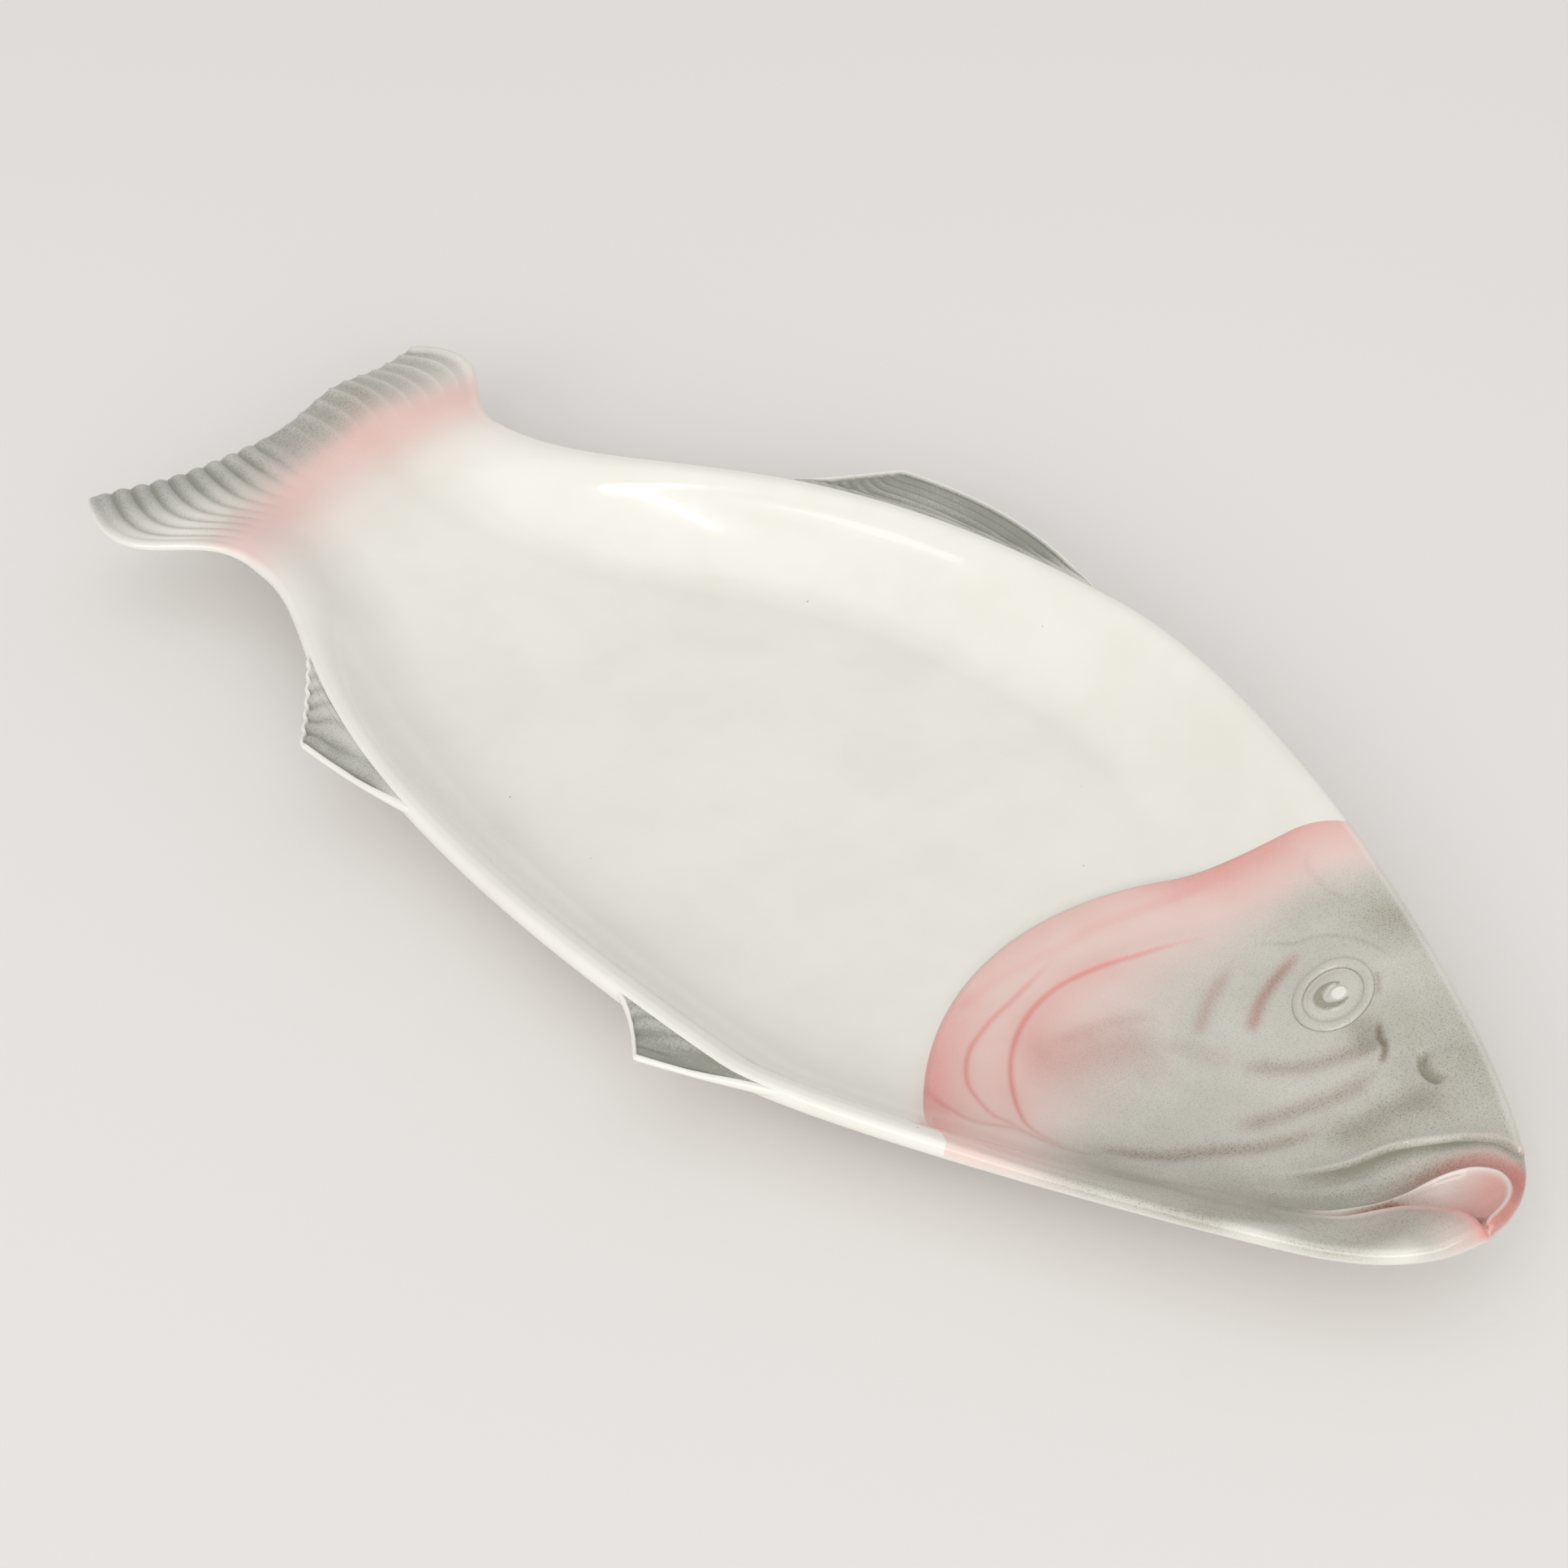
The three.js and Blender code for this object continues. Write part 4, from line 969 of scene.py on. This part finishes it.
class Board:
    """The node tree of one new material."""

    def __init__(self, name):
        self.material = bpy.data.materials.new(name)
        self.material.use_nodes = True
        self.tree = self.material.node_tree
        self.surface = self.tree.nodes["Principled BSDF"].inputs
        self.place = self.add("ShaderNodeTexCoord", output="Object")

    def add(self, kind, settings=None, sockets=None, output=0):
        """A node of any kind: its settings first, then the values or links of its sockets."""
        node = self.tree.nodes.new(kind)
        for name, value in (settings or {}).items():
            setattr(node, name, value)
        for name, value in (sockets or {}).items():
            self.feed(node.inputs[name], value)
        return Shade(self, node.outputs[output])

    def feed(self, socket, value):
        if isinstance(value, Shade):
            self.tree.links.new(value.socket, socket)
        else:
            socket.default_value = value

    def dress(self, **values):
        """Feed inputs of the surface, named in lower case with underscores."""
        for socket in self.surface:
            key = socket.name.lower().replace(" ", "_")
            if key in values:
                self.feed(socket, values[key])
        return self.material

    def noise(self, scale, detail=2.0):
        sockets = {"Vector": self.place, "Scale": scale, "Detail": detail}
        return self.add("ShaderNodeTexNoise", {}, sockets)

    def dots(self, scale):
        """Distance to the nearest of many scattered points, in shares of their spacing."""
        return self.add("ShaderNodeTexVoronoi", {}, {"Vector": self.place, "Scale": scale})

    def bumps(self, strength, distance, height):
        sockets = {"Strength": strength, "Distance": distance, "Height": height}
        return self.add("ShaderNodeBump", {}, sockets)

    def pigment(self, name):
        return self.add("ShaderNodeAttribute", {"attribute_name": name}, output="Fac")

    def blend(self, share, first, second, kind="MIX"):
        settings = {"data_type": "RGBA", "blend_type": kind, "clamp_factor": True}
        return self.add("ShaderNodeMix", settings, {0: share, 6: first, 7: second}, output=2)

    def tint(self, share, ground, pigment):
        """A pigment laid over a ground colour by a share, as a stain under glaze."""
        return self.blend(share, ground, pigment, "MULTIPLY")


# How fine glaze, clay and paper are, in features per metre
GRAIN = 1500.0
SPRAY = 1150.0
CLOUDS = 34.0
SPECKS = 46.0
RIPPLES = 55.0
FINE_RIPPLES = 420.0
CLAY_GRAIN = 900.0
CLAY_PATCHES = 60.0
PAPER_FIBRE = 700.0
PAPER_CLOUDS = 1.6

SLATE_GLAZES = ("tail_glaze", "fin_glaze")


def opaque(colour):
    return (*colour, 1.0)


def glaze(name, colours):
    """Glossy glaze over clay, stained by the pigments that were sprayed on a piece."""
    board = Board(name)
    stain = colours.slate if name in SLATE_GLAZES else colours.grey
    grain = board.noise(GRAIN, 3.0)
    cloud = board.noise(CLOUDS, 3.0)
    spray = 1 - board.dots(SPRAY).ramp(0.12, 0.42)
    uneven = 0.4 + 0.65 * cloud + 0.55 * grain

    ground = board.blend(cloud.ramp(0.3, 0.75), opaque(colours.white), opaque(colours.cream))
    grey = board.pigment("grey") * (uneven + 0.4 * spray)
    pink = board.pigment("pink") * (0.72 + 0.36 * cloud + 0.2 * grain)
    brown = board.pigment("brown") * (0.35 + 0.9 * grain + 0.5 * spray)
    specks = board.dots(SPECKS).ramp(0.028, 0.012)
    colour = board.tint(pink, ground, opaque(colours.pink))
    colour = board.tint(grey, colour, opaque(stain))
    colour = board.tint(brown, colour, opaque(colours.brown))
    colour = board.tint(specks * 0.55, colour, opaque(colours.brown))

    ripple = board.noise(RIPPLES) + 0.12 * board.noise(FINE_RIPPLES)
    return board.dress(
        base_color=colour, roughness=0.13 + 0.1 * grain, normal=board.bumps(0.12, 1.2 * MM, ripple),
        coat_weight=0.5, coat_roughness=0.05, ior=1.5)


def bare_clay(name, colours):
    """Unglazed clay with grog and grinding marks."""
    board = Board(name)
    grain = board.noise(CLAY_GRAIN, 4.0)
    patches = board.noise(CLAY_PATCHES, 3.0)
    colour = board.blend(patches.ramp(0.3, 0.7), opaque(colours.clay), opaque(colours.cream))
    colour = board.tint(grain.ramp(0.5, 0.8) * 0.35, colour, opaque(colours.brown))
    return board.dress(
        base_color=colour, roughness=0.75 + 0.2 * grain, normal=board.bumps(0.4, 0.4 * MM, grain))


def backdrop(name, stage):
    """Matt pale paper."""
    board = Board(name)
    shade = [0.97 * part for part in stage.floor]
    colour = board.blend(board.noise(PAPER_CLOUDS, 1.0), opaque(stage.floor), opaque(shade))
    return board.dress(base_color=colour, roughness=0.8 + 0.15 * board.noise(PAPER_FIBRE, 3.0))


def length_property(name, description, millimetres):
    return bpy.props.FloatProperty(
        name=name, description=description, default=millimetres * MM, min=0, unit="LENGTH")


def power_property(name, description, watts):
    return bpy.props.FloatProperty(name=name, description=description, default=watts, min=0, unit="POWER")


def angle_property(name, description, degrees):
    return bpy.props.FloatProperty(
        name=name, description=description, default=math.radians(degrees), subtype="ANGLE", unit="ROTATION")


def colour_property(name, description, default):
    return bpy.props.FloatVectorProperty(
        name=name, description=description, default=default, min=0, max=1, subtype="COLOR")


class FishForm(bpy.types.PropertyGroup):
    """Relief of the platter."""

    gill_step: length_property("Gill Step", "How far the gill cover stands above the well", 1.6)
    relief: bpy.props.FloatProperty(
        name="Head Relief", description="Strength of the folds and creases on the head",
        default=1.0, min=0, subtype="FACTOR")
    tail_rays: bpy.props.IntProperty(
        name="Tail Rays", description="Number of rays across the tail", default=20, min=4)
    tail_ray_depth: length_property("Tail Ray Depth", "Depth of the grooves between the tail's rays", 1.7)
    fin_ray_depth: length_property("Fin Ray Depth", "Depth of the grooves on the side fins", 1.1)
    eye_rise: length_property("Eye Ring Rise", "How far the eye's ring stands above the cheek", 1.9)


class GlazeColours(bpy.types.PropertyGroup):
    """Glaze, clay and the pigments under the glaze."""

    white: colour_property("White Glaze", "Clear glaze over white clay", (0.83, 0.82, 0.765))
    cream: colour_property("Cream Glaze", "Where the glaze lies thicker", (0.80, 0.785, 0.72))
    grey: colour_property("Grey Pigment", "Stain on the head", (0.35, 0.342, 0.285))
    slate: colour_property("Slate Pigment", "Cooler stain on fins and tail", (0.33, 0.333, 0.306))
    pink: colour_property("Pink Pigment", "Stain on gill, lips and tail", (0.90, 0.365, 0.35))
    brown: colour_property("Brown Pigment", "Stain in the creases, and specks", (0.42, 0.27, 0.22))
    clay: colour_property("Bare Clay", "Ground foot", (0.74, 0.68, 0.59))


class StageSettings(bpy.types.PropertyGroup):
    """Floor, light and camera."""

    floor: colour_property("Floor", "Pale paper", (0.82, 0.80, 0.785))
    overhead_power: power_property("Overhead Light", "Wide soft light above the platter", 8.0)
    front_power: power_property("Front Light", "Wide soft light on the camera's side", 265.0)
    window_power: power_property("Window Light", "Narrow light high on the left", 1.2)
    sill_power: power_property("Sill Light", "Narrow dim light below the window", 1.0)
    room: bpy.props.FloatProperty(
        name="Room Light", description="Even light of the pale room", default=0.69, min=0)
    azimuth: angle_property("Azimuth", "Camera's turn round the platter", 43.29)
    elevation: angle_property("Elevation", "Camera's angle above the table", 41.0)
    distance: bpy.props.FloatProperty(
        name="Distance", description="Camera to the middle of the platter", default=1.1168, unit="LENGTH")
    aim: bpy.props.FloatVectorProperty(
        name="Aim", description="What the camera looks at",
        default=[(place + shift) * MM for place, shift in zip(PHOTO_AIM, (*PLAN_SHIFT, 0))],
        subtype="TRANSLATION", unit="LENGTH")
    lens: bpy.props.FloatProperty(
        name="Lens", description="Focal length in millimetres", default=74.53, min=10)


class FISH_OT_shell(bpy.types.Operator):
    """Model well, head and tail as one seamless shell, parted at the waist and the gill edge"""

    bl_idname = "fish_platter.shell"
    bl_label = "Well, Head and Tail"

    def execute(self, context):
        form = context.scene.fish_form
        columns = gathered(COLUMNS, COLUMN_GATHER)
        tail_us = np.linspace(0, 1, TAIL_ROWS + 1)
        tail, body, head = self.plans(tail_us, columns)
        lift, groove, beyond = tail_relief(tail_us, columns, tail, form)
        tail_top = inside_height(tail) + lift - form.tail_ray_depth / MM * groove
        head_top = inside_height(head) + head_relief(head, form)
        plan = np.concatenate([tail, body[1:], head[1:]])
        top = np.concatenate([tail_top, inside_height(body)[1:], head_top[1:]])
        under = underside_height(plan)
        under[:TAIL_ROWS + 1] += lift + self.tail_thinning(tail, beyond)
        sheet = clay_sheet(plan, top, under, LIP_REACH - EDGE_INSET, UNDERSIDE_STRIDE)
        normals = shell_normals(sheet.points, sheet.faces)
        seat = LIP_SEAT * sum(smooth(lip_inset(lip, head), *LIP_SEAT_RUN) for lip in LIPS)
        sheet.points[sheet.grid[-HEAD_ROWS - 1:], 2] -= seat
        paints = [tail_paint(tail, groove, beyond), body_paint(body), head_paint(head)]
        self.part(sheet, normals, paints, context.scene.fish_colours)
        return {"FINISHED"}

    def plans(self, tail_us, columns):
        """Plan grids of tail, body and head."""
        body_us = np.linspace(0, 1, BODY_ROWS + 1)
        head_us = gathered(HEAD_ROWS, HEAD_GATHER)
        tip_x, waist_x = LOWER_TIP[0], BACK_WAIST[0]
        stretches = [
            ((tip_x, waist_x), (tip_x, waist_x), fork, waist, tail_us),
            ((waist_x, GILL_X[0]), (waist_x, GILL_X[1]), waist, gill, body_us),
            ((GILL_X[0], CHIN[0]), (GILL_X[1], BROW[0]), gill, snout, head_us),
        ]
        return [patch(ventral.between(*low), dorsal.between(*high), start, end, us, columns)
                for low, high, start, end, us in stretches]

    def tail_thinning(self, tail, beyond):
        """How far the underside rises where the tail thins out towards its border."""
        to_border = np.minimum(np.min(crest_distance(tail), axis=0), fork.nearest(tail)[0])
        at_border = (1 - smooth(to_border, 0, TAIL_EDGE_RUN)) * smooth(beyond, *TAIL_THIN_RUN)
        return (LIP_THICKNESS - TAIL_EDGE_THICKNESS) * at_border

    def part(self, sheet, normals, paints, colours):
        """Make tail, well and head from their rows of the shell."""
        gill_row = TAIL_ROWS + BODY_ROWS
        parts = [
            ("glazed_tail", "tail_fin", "tail_glaze", (0, TAIL_ROWS), EDGE_PAINT),
            ("glazed_well", "well_body", "white_glaze", (TAIL_ROWS, gill_row), EDGE_PAINT),
            ("glazed_head", "head", "head_glaze", (gill_row, gill_row + HEAD_ROWS), JAW_EDGE_PAINT),
        ]
        for (name, node, slot, rows, until), paint in zip(parts, paints):
            kept, faces = part_of_sheet(sheet, rows, UNDERSIDE_STRIDE)
            own = roll_over(sheet, paint, until, kept, rows[0] * (COLUMNS + 1))
            material = glaze(slot, colours)
            make_piece(name, sheet.points[kept], faces, material, [node], own, normals[kept])


def stand_off(line, place, reach):
    """Points at a reach to the left of a line."""
    run = unit(line.at(place + LINE_STEP) - line.at(place - LINE_STEP))
    return line.at(place) + left_of(run) * reach


def fin_edges(fin, line, us, vs):
    """Root, long edge, rear edge and front edge of a fin."""
    rear, front, tip_place = (line.place_at_x(x) for x in (fin.rear, fin.front, fin.tip_x))
    tip = stand_off(line, tip_place, fin.side * (LIP_REACH + fin.reach))
    front_end = stand_off(line, front, fin.side * FIN_FRONT)
    root = stand_off(line, mix(rear, front, us), -fin.side * FIN_ROOT)
    bulge = unit(left_of(front_end - tip)) * 2 * fin.bow * fin.side
    long_edge = Line(bezier(tip, (tip + front_end) / 2 + bulge, front_end))
    rear_run = tip - root[0]
    ribs = np.linalg.norm(rear_run) / fin.pitch
    scallops = fin.scallop * np.abs(np.sin(np.pi * ribs * (1 - vs)))
    hollow = fin.hollow * np.sin(np.pi * vs)
    back = unit(left_of(rear_run)) * fin.side
    rear_edge = Line(root[0] + vs[:, None] * rear_run + (scallops - hollow)[:, None] * back)
    return Line(root), long_edge, rear_edge, Line([root[-1], front_end])


def fin_border(distance, width):
    """1 on the plain border along an edge of a fin, 0 on its ribbed ground."""
    start, end = np.multiply(FIN_BORDER, width)
    return smooth(distance, start + HAIR, end)


def fin_sheet(fin, form):
    """A ribbed fin that stands out from the rim, and its paint."""
    line = dorsal if fin.side > 0 else ventral
    us = np.linspace(0, 1, FIN_ROWS + 1)
    vs = np.linspace(0, 1, FIN_COLUMNS + 1)
    root, long_edge, rear_edge, front_edge = fin_edges(fin, line, us, vs)
    plan = patch(root, long_edge, rear_edge, front_edge, us, vs)
    to_long = long_edge.nearest(plan)[0]
    to_rear = rear_edge.nearest(plan)[0]
    to_lip = line.nearest(plan)[0] - LIP_REACH
    wave = fin.rib * (1 - np.abs(np.sin(np.pi * (to_long - fin.border) / fin.pitch)))
    border = np.maximum(fin_border(to_long, fin.border), fin_border(to_rear, fin.rear_border))
    climb = smooth(to_lip, *FIN_RISE_RUN)
    top = FIN_TOP - (FIN_RECESS + form.fin_ray_depth / MM * wave) * (1 - border) * (1 - climb)
    top += (RIM_HEIGHT - FIN_RISE_TOP - FIN_TOP) * climb
    taper = smooth(np.minimum(to_long, to_rear), 0, FIN_TAPER)
    under = FIN_TOP - mix(FIN_EDGE_THICKNESS, FIN_THICKNESS, taper)

    tip, front_end = long_edge.points[[0, -1]]
    from_front = np.linalg.norm(plan - front_end, axis=-1) / np.linalg.norm(front_end - tip)
    grey = fin.grey * (FIN_GREY + FIN_GROOVE_GREY * wave + wash(to_long, *FIN_OUTER_GREY)) * (1 - border)
    grey *= mix(FIN_FRONT_GREY, 1, smooth(from_front, *FIN_FRONT_RUN)) * mix(1, FIN_ROOT_GREY, climb)
    order = slice(None, None, fin.side)
    paint = paint_of(grey.shape, grey=grey[order])
    return clay_sheet(plan[order], top[order], under[order], FIN_EDGE), paint


class FISH_OT_fins(bpy.types.Operator):
    """Model the three ribbed fins outside the rim"""

    bl_idname = "fish_platter.fins"
    bl_label = "Fins"

    def execute(self, context):
        material = glaze("fin_glaze", context.scene.fish_colours)
        for fin in FINS:
            sheet, paint = fin_sheet(fin, context.scene.fish_form)
            own = roll_over(sheet, paint, EDGE_PAINT if fin.border else FULL_EDGE_PAINT)
            name = f"{fin.name}_fin_glazed"
            make_piece(name, sheet.points, sheet.faces, material, [fin.node], own)
        return {"FINISHED"}


def lip_surface(plan):
    return inside_height(plan) + mouth_relief(mouth_places(plan))


def lip_normals(plan):
    """Normals of the whole mouth's surface, so that the glaze flows from lip to cheek."""
    slopes = []
    for step in ((NORMAL_STEP, 0), (0, NORMAL_STEP)):
        slopes.append((lip_surface(plan + step) - lip_surface(plan - step)) / (2 * NORMAL_STEP))
    normals = np.stack([-slopes[0], -slopes[1], np.ones_like(slopes[0])], axis=-1)
    return unit(normals).reshape(-1, 3)


class FISH_OT_lips(bpy.types.Operator):
    """Model the upper and the lower lip round the mouth"""

    bl_idname = "fish_platter.lips"
    bl_label = "Lips"

    def execute(self, context):
        material = glaze("lip_glaze", context.scene.fish_colours)
        for lip in LIPS:
            self.lip(lip, material)
        return {"FINISHED"}

    def lip(self, lip, material):
        """A lip between two given lines. Its edge dips into the head."""
        us = np.linspace(0, 1, LIP_ROWS + 1)
        vs = np.linspace(0, 1, LIP_COLUMNS + 1)
        near, far = through(lip.near).at(us), through(lip.far).at(us)
        plan = mix(near[:, None], far[:, None], vs[None, :, None])
        tuck = 1 - smooth(lip_inset(lip, plan), 0, LIP_TUCK)
        top = lip_surface(plan) + LIP_PROUD - LIP_SEAT * tuck
        sheet = clay_sheet(plan, top, top - LIP_CLAY, LIP_ROUND)
        normals = shell_normals(sheet.points, sheet.faces)
        normals[:top.size] = lip_normals(plan)
        make_piece(f"glazed_{lip.node}", sheet.points, sheet.faces, material, [lip.node],
                   roll_over(sheet, head_paint(plan)), normals)


def round_angles(segments):
    return np.linspace(0, 2 * np.pi, segments, endpoint=False)


def loop_faces(rings, segments):
    """Quads between rings of points, with the last ring joined to the first."""
    faces = []
    for k in range(rings):
        here, ahead = k * segments, (k + 1) % rings * segments
        for s in range(segments):
            t = (s + 1) % segments
            faces.append([here + s, ahead + s, ahead + t, here + t])
    return faces


def eye_plan(radii, segments):
    """Plan places in rings round the eye's centre, on the sloping cheek."""
    turn = math.radians(EYE_LONG_AXIS)
    angle = round_angles(segments)[None] - turn
    along = radii[:, None] * np.cos(angle)
    across = radii[:, None] * np.sin(angle) * EYE_NARROWING
    x = EYE_CENTRE[0] + along * math.cos(turn) - across * math.sin(turn)
    y = EYE_CENTRE[1] + along * math.sin(turn) + across * math.cos(turn)
    return np.stack([x, y], axis=-1)


def on_cheek(plan, height):
    """Points at a height above the cheek."""
    z = inside_height(plan) + height
    return np.concatenate([plan, z[..., None]], axis=-1).reshape(-1, 3)


class FISH_OT_eye(bpy.types.Operator):
    """Model the eye's ring and the curled pupil inside it"""

    bl_idname = "fish_platter.eye"
    bl_label = "Eye"

    def execute(self, context):
        material = glaze("eye_glaze", context.scene.fish_colours)
        inner = EYE_RADIUS - EYE_RING_WIDTH
        self.ring(inner, context.scene.fish_form.eye_rise / MM, material)
        self.pupil(inner, material)
        return {"FINISHED"}

    def ring(self, inner, rise, material):
        share = np.linspace(0, 1, RING_STEPS + 1)
        top = mix(EYE_RADIUS + RING_SPREAD, inner - RING_SPREAD, share)
        radii = np.concatenate([top, [inner + RING_INSET, EYE_RADIUS - RING_INSET]])
        edge = np.abs(2 * np.concatenate([share, [0, 1]]) - 1)[:, None]
        height = rise * np.sqrt(np.clip(1 - edge ** RING_ROUNDNESS, 0, 1)) - RING_FOOT
        height[-2:] = EYE_UNDERSIDE
        points = on_cheek(eye_plan(radii, RING_SEGMENTS), height)
        faces = [face[::-1] for face in loop_faces(len(radii), RING_SEGMENTS)]
        paint = paint_of((len(radii), RING_SEGMENTS), grey=RING_GREY + wash(edge, *RING_EDGE_GREY),
                         brown=wash(edge, *RING_EDGE_BROWN))
        make_piece("eye_ring_glazed", points, faces, material, ["eye_ring"], paint)

    def pupil(self, inner, material):
        top_reach, under_reach = np.add(PUPIL_UNDER_RING, inner)
        radii = np.concatenate([np.linspace(PUPIL_HOLE, top_reach, PUPIL_RINGS), [under_reach, PUPIL_HOLE]])
        plan = eye_plan(radii, PUPIL_SEGMENTS)
        off = plan - EYE_CENTRE
        to_ring = radii[:, None] - inner
        curl = self.curl(off)
        to_dot = np.linalg.norm(off - PUPIL_DOT, axis=-1) - PUPIL_DOT_RADIUS
        dot = smooth(-to_dot, 0, PUPIL_DOT_SLOPE)
        height = IRIS_HEIGHT + blot(to_ring, *IRIS_GROOVE) + PUPIL_CURL_RISE * curl + PUPIL_DOT_RISE * dot
        height[-2:] = EYE_UNDERSIDE
        grey = PUPIL_GREY + CURL_GREY * curl * (1 - dot) + blot(to_ring, *IRIS_EDGE_GREY)
        brown = blot(to_dot, *DOT_BROWN) * smooth(curl, *DOT_BROWN_RUN)
        brown += blot(to_ring, *IRIS_BROWN) * smooth(-off[..., 0], *IRIS_BROWN_RUN)
        paint = paint_of(dot.shape, grey=grey * (1 - dot), brown=brown)
        faces = loop_faces(len(radii), PUPIL_SEGMENTS)
        points = on_cheek(plan, height)
        make_piece("eye_pupil_glazed", points, faces, material, ["eye_pupil"], paint)

    def curl(self, off):
        """1 on the raised curl round the dot, at places measured from the eye's centre."""
        arc = np.linspace(*np.radians(PUPIL_CURL_ARC), LINE_POINTS)
        radius = PUPIL_CURL_RADIUS * np.linspace(*PUPIL_CURL_GROWTH, LINE_POINTS)
        line = Line(np.stack([radius * np.cos(arc), radius * np.sin(arc)], axis=-1))
        distance, place, _ = line.nearest(off)
        (start_width, start_run), (end_width, end_run) = PUPIL_CURL_START, PUPIL_CURL_END
        taper = mix(start_width, 1, smooth(place, 0, start_run))
        taper = taper * mix(end_width, 1, smooth(1 - place, 0, end_run))
        return smooth(PUPIL_CURL_HALF * taper - distance, 0, PUPIL_CURL_SLOPE)


class FISH_OT_foot(bpy.types.Operator):
    """Model the oval foot ring under the well"""

    bl_idname = "fish_platter.foot"
    bl_label = "Foot Ring"

    def execute(self, context):
        angles = round_angles(FOOT_SEGMENTS)
        rings = []
        for offset, height in self.profile():
            x = FOOT_CENTRE[0] + (FOOT_HALF[0] + offset) * np.cos(angles)
            y = FOOT_CENTRE[1] + (FOOT_HALF[1] + offset) * np.sin(angles)
            plan = np.stack([x, y], axis=-1)
            z = underside_height(plan) + FOOT_SINK if height is None else np.full(FOOT_SEGMENTS, height)
            rings.append(np.column_stack([plan, z]))
        faces = [face[::-1] for face in loop_faces(len(rings), FOOT_SEGMENTS)]
        material = bare_clay("bare_clay", context.scene.fish_colours)
        make_piece("ground_foot", np.concatenate(rings), faces, material, ["foot_ring"])
        return {"FINISHED"}

    def profile(self):
        """Offsets from the ring's middle and heights, None where it meets the underside."""
        corner = np.linspace(0, math.pi / 2, FOOT_CORNER_STEPS + 1)
        flat = FOOT_REST_WIDTH / 2 - FOOT_ROUND
        half = [(flat + FOOT_ROUND * math.sin(a), FOOT_ROUND * (1 - math.cos(a))) for a in corner]
        half.append((FOOT_TOP_WIDTH / 2, None))
        return half + [(-offset, height) for offset, height in half[::-1]]


class FISH_OT_stage(bpy.types.Operator):
    """Set up the pale floor, the soft lights and the camera"""

    bl_idname = "fish_platter.stage"
    bl_label = "Stage"

    def execute(self, context):
        stage = context.scene.fish_stage
        self.floor(stage)
        for lamp in LAMPS:
            self.light(lamp, getattr(stage, lamp.power))
        world = bpy.data.worlds.new("pale_room")
        world.use_nodes = True
        background = world.node_tree.nodes["Background"]
        background.inputs["Color"].default_value = ROOM_COLOUR
        background.inputs["Strength"].default_value = stage.room
        context.scene.world = world
        context.scene.view_settings.view_transform = "Standard"
        self.camera(context, stage)
        return {"FINISHED"}

    def floor(self, stage):
        corners = [(x * FLOOR_HALF, y * FLOOR_HALF, 0) for x, y in ((-1, -1), (1, -1), (1, 1), (-1, 1))]
        mesh = bpy.data.meshes.new("paper_floor")
        mesh.from_pydata(corners, [], [(0, 1, 2, 3)])
        mesh.materials.append(backdrop("pale_paper", stage))
        floor = bpy.data.objects.new("paper_floor", mesh)
        bpy.context.scene.collection.objects.link(floor)

    def light(self, lamp, power):
        """A strip of light that faces the platter."""
        ends = []
        for azimuth, elevation in (lamp.start, lamp.end):
            flat = heading(azimuth, math.cos(math.radians(elevation)))
            ends.append(Vector((*flat, math.sin(math.radians(elevation)))) * lamp.distance)
        light = bpy.data.lights.new(lamp.name, "AREA")
        light.energy = power
        light.shape = "RECTANGLE"
        light.size = (ends[1] - ends[0]).length
        light.size_y = lamp.width
        away = (ends[0] + ends[1]).normalized()
        along = (ends[1] - ends[0]).normalized()
        holder = bpy.data.objects.new(lamp.name, light)
        holder.location = (ends[0] + ends[1]) / 2
        holder.rotation_euler = Matrix((along, away.cross(along), away)).transposed().to_euler()
        bpy.context.scene.collection.objects.link(holder)

    def camera(self, context, stage):
        lens = bpy.data.cameras.new("photo_camera")
        lens.sensor_width = SENSOR_WIDTH
        lens.lens = stage.lens
        back = Vector((math.sin(stage.azimuth) * math.cos(stage.elevation),
                       -math.cos(stage.azimuth) * math.cos(stage.elevation),
                       math.sin(stage.elevation)))
        camera = bpy.data.objects.new("photo_camera", lens)
        camera.location = Vector(stage.aim) + back * stage.distance
        camera.rotation_euler = (-back).to_track_quat("-Z", "Y").to_euler()
        context.scene.collection.objects.link(camera)
        context.scene.camera = camera


GROUPS = {"fish_form": FishForm, "fish_colours": GlazeColours, "fish_stage": StageSettings}
STEPS = [FISH_OT_shell, FISH_OT_fins, FISH_OT_lips, FISH_OT_eye, FISH_OT_foot, FISH_OT_stage]


class FISH_PT_platter(bpy.types.Panel):
    """Sizes, colours and steps of the platter"""

    bl_label = "Fish Platter"
    bl_idname = "FISH_PT_platter"
    bl_space_type = "VIEW_3D"
    bl_region_type = "UI"
    bl_category = "Fish Platter"

    def draw(self, context):
        for group in GROUPS:
            settings = getattr(context.scene, group)
            box = self.layout.box()
            for name in settings.bl_rna.properties.keys():
                if name not in {"rna_type", "name"}:
                    box.prop(settings, name)
        for step in STEPS:
            self.layout.operator(step.bl_idname)


CLASSES = [*GROUPS.values(), *STEPS, FISH_PT_platter]


def register():
    for cls in CLASSES:
        bpy.utils.register_class(cls)
    for name, group in GROUPS.items():
        setattr(bpy.types.Scene, name, bpy.props.PointerProperty(type=group))


def unregister():
    for name in GROUPS:
        delattr(bpy.types.Scene, name)
    for cls in reversed(CLASSES):
        bpy.utils.unregister_class(cls)


def main():
    register()
    bpy.ops.fish_platter.shell()
    bpy.ops.fish_platter.fins()
    bpy.ops.fish_platter.lips()
    bpy.ops.fish_platter.eye()
    bpy.ops.fish_platter.foot()
    bpy.ops.fish_platter.stage()


if __name__ == "__main__":
    main()
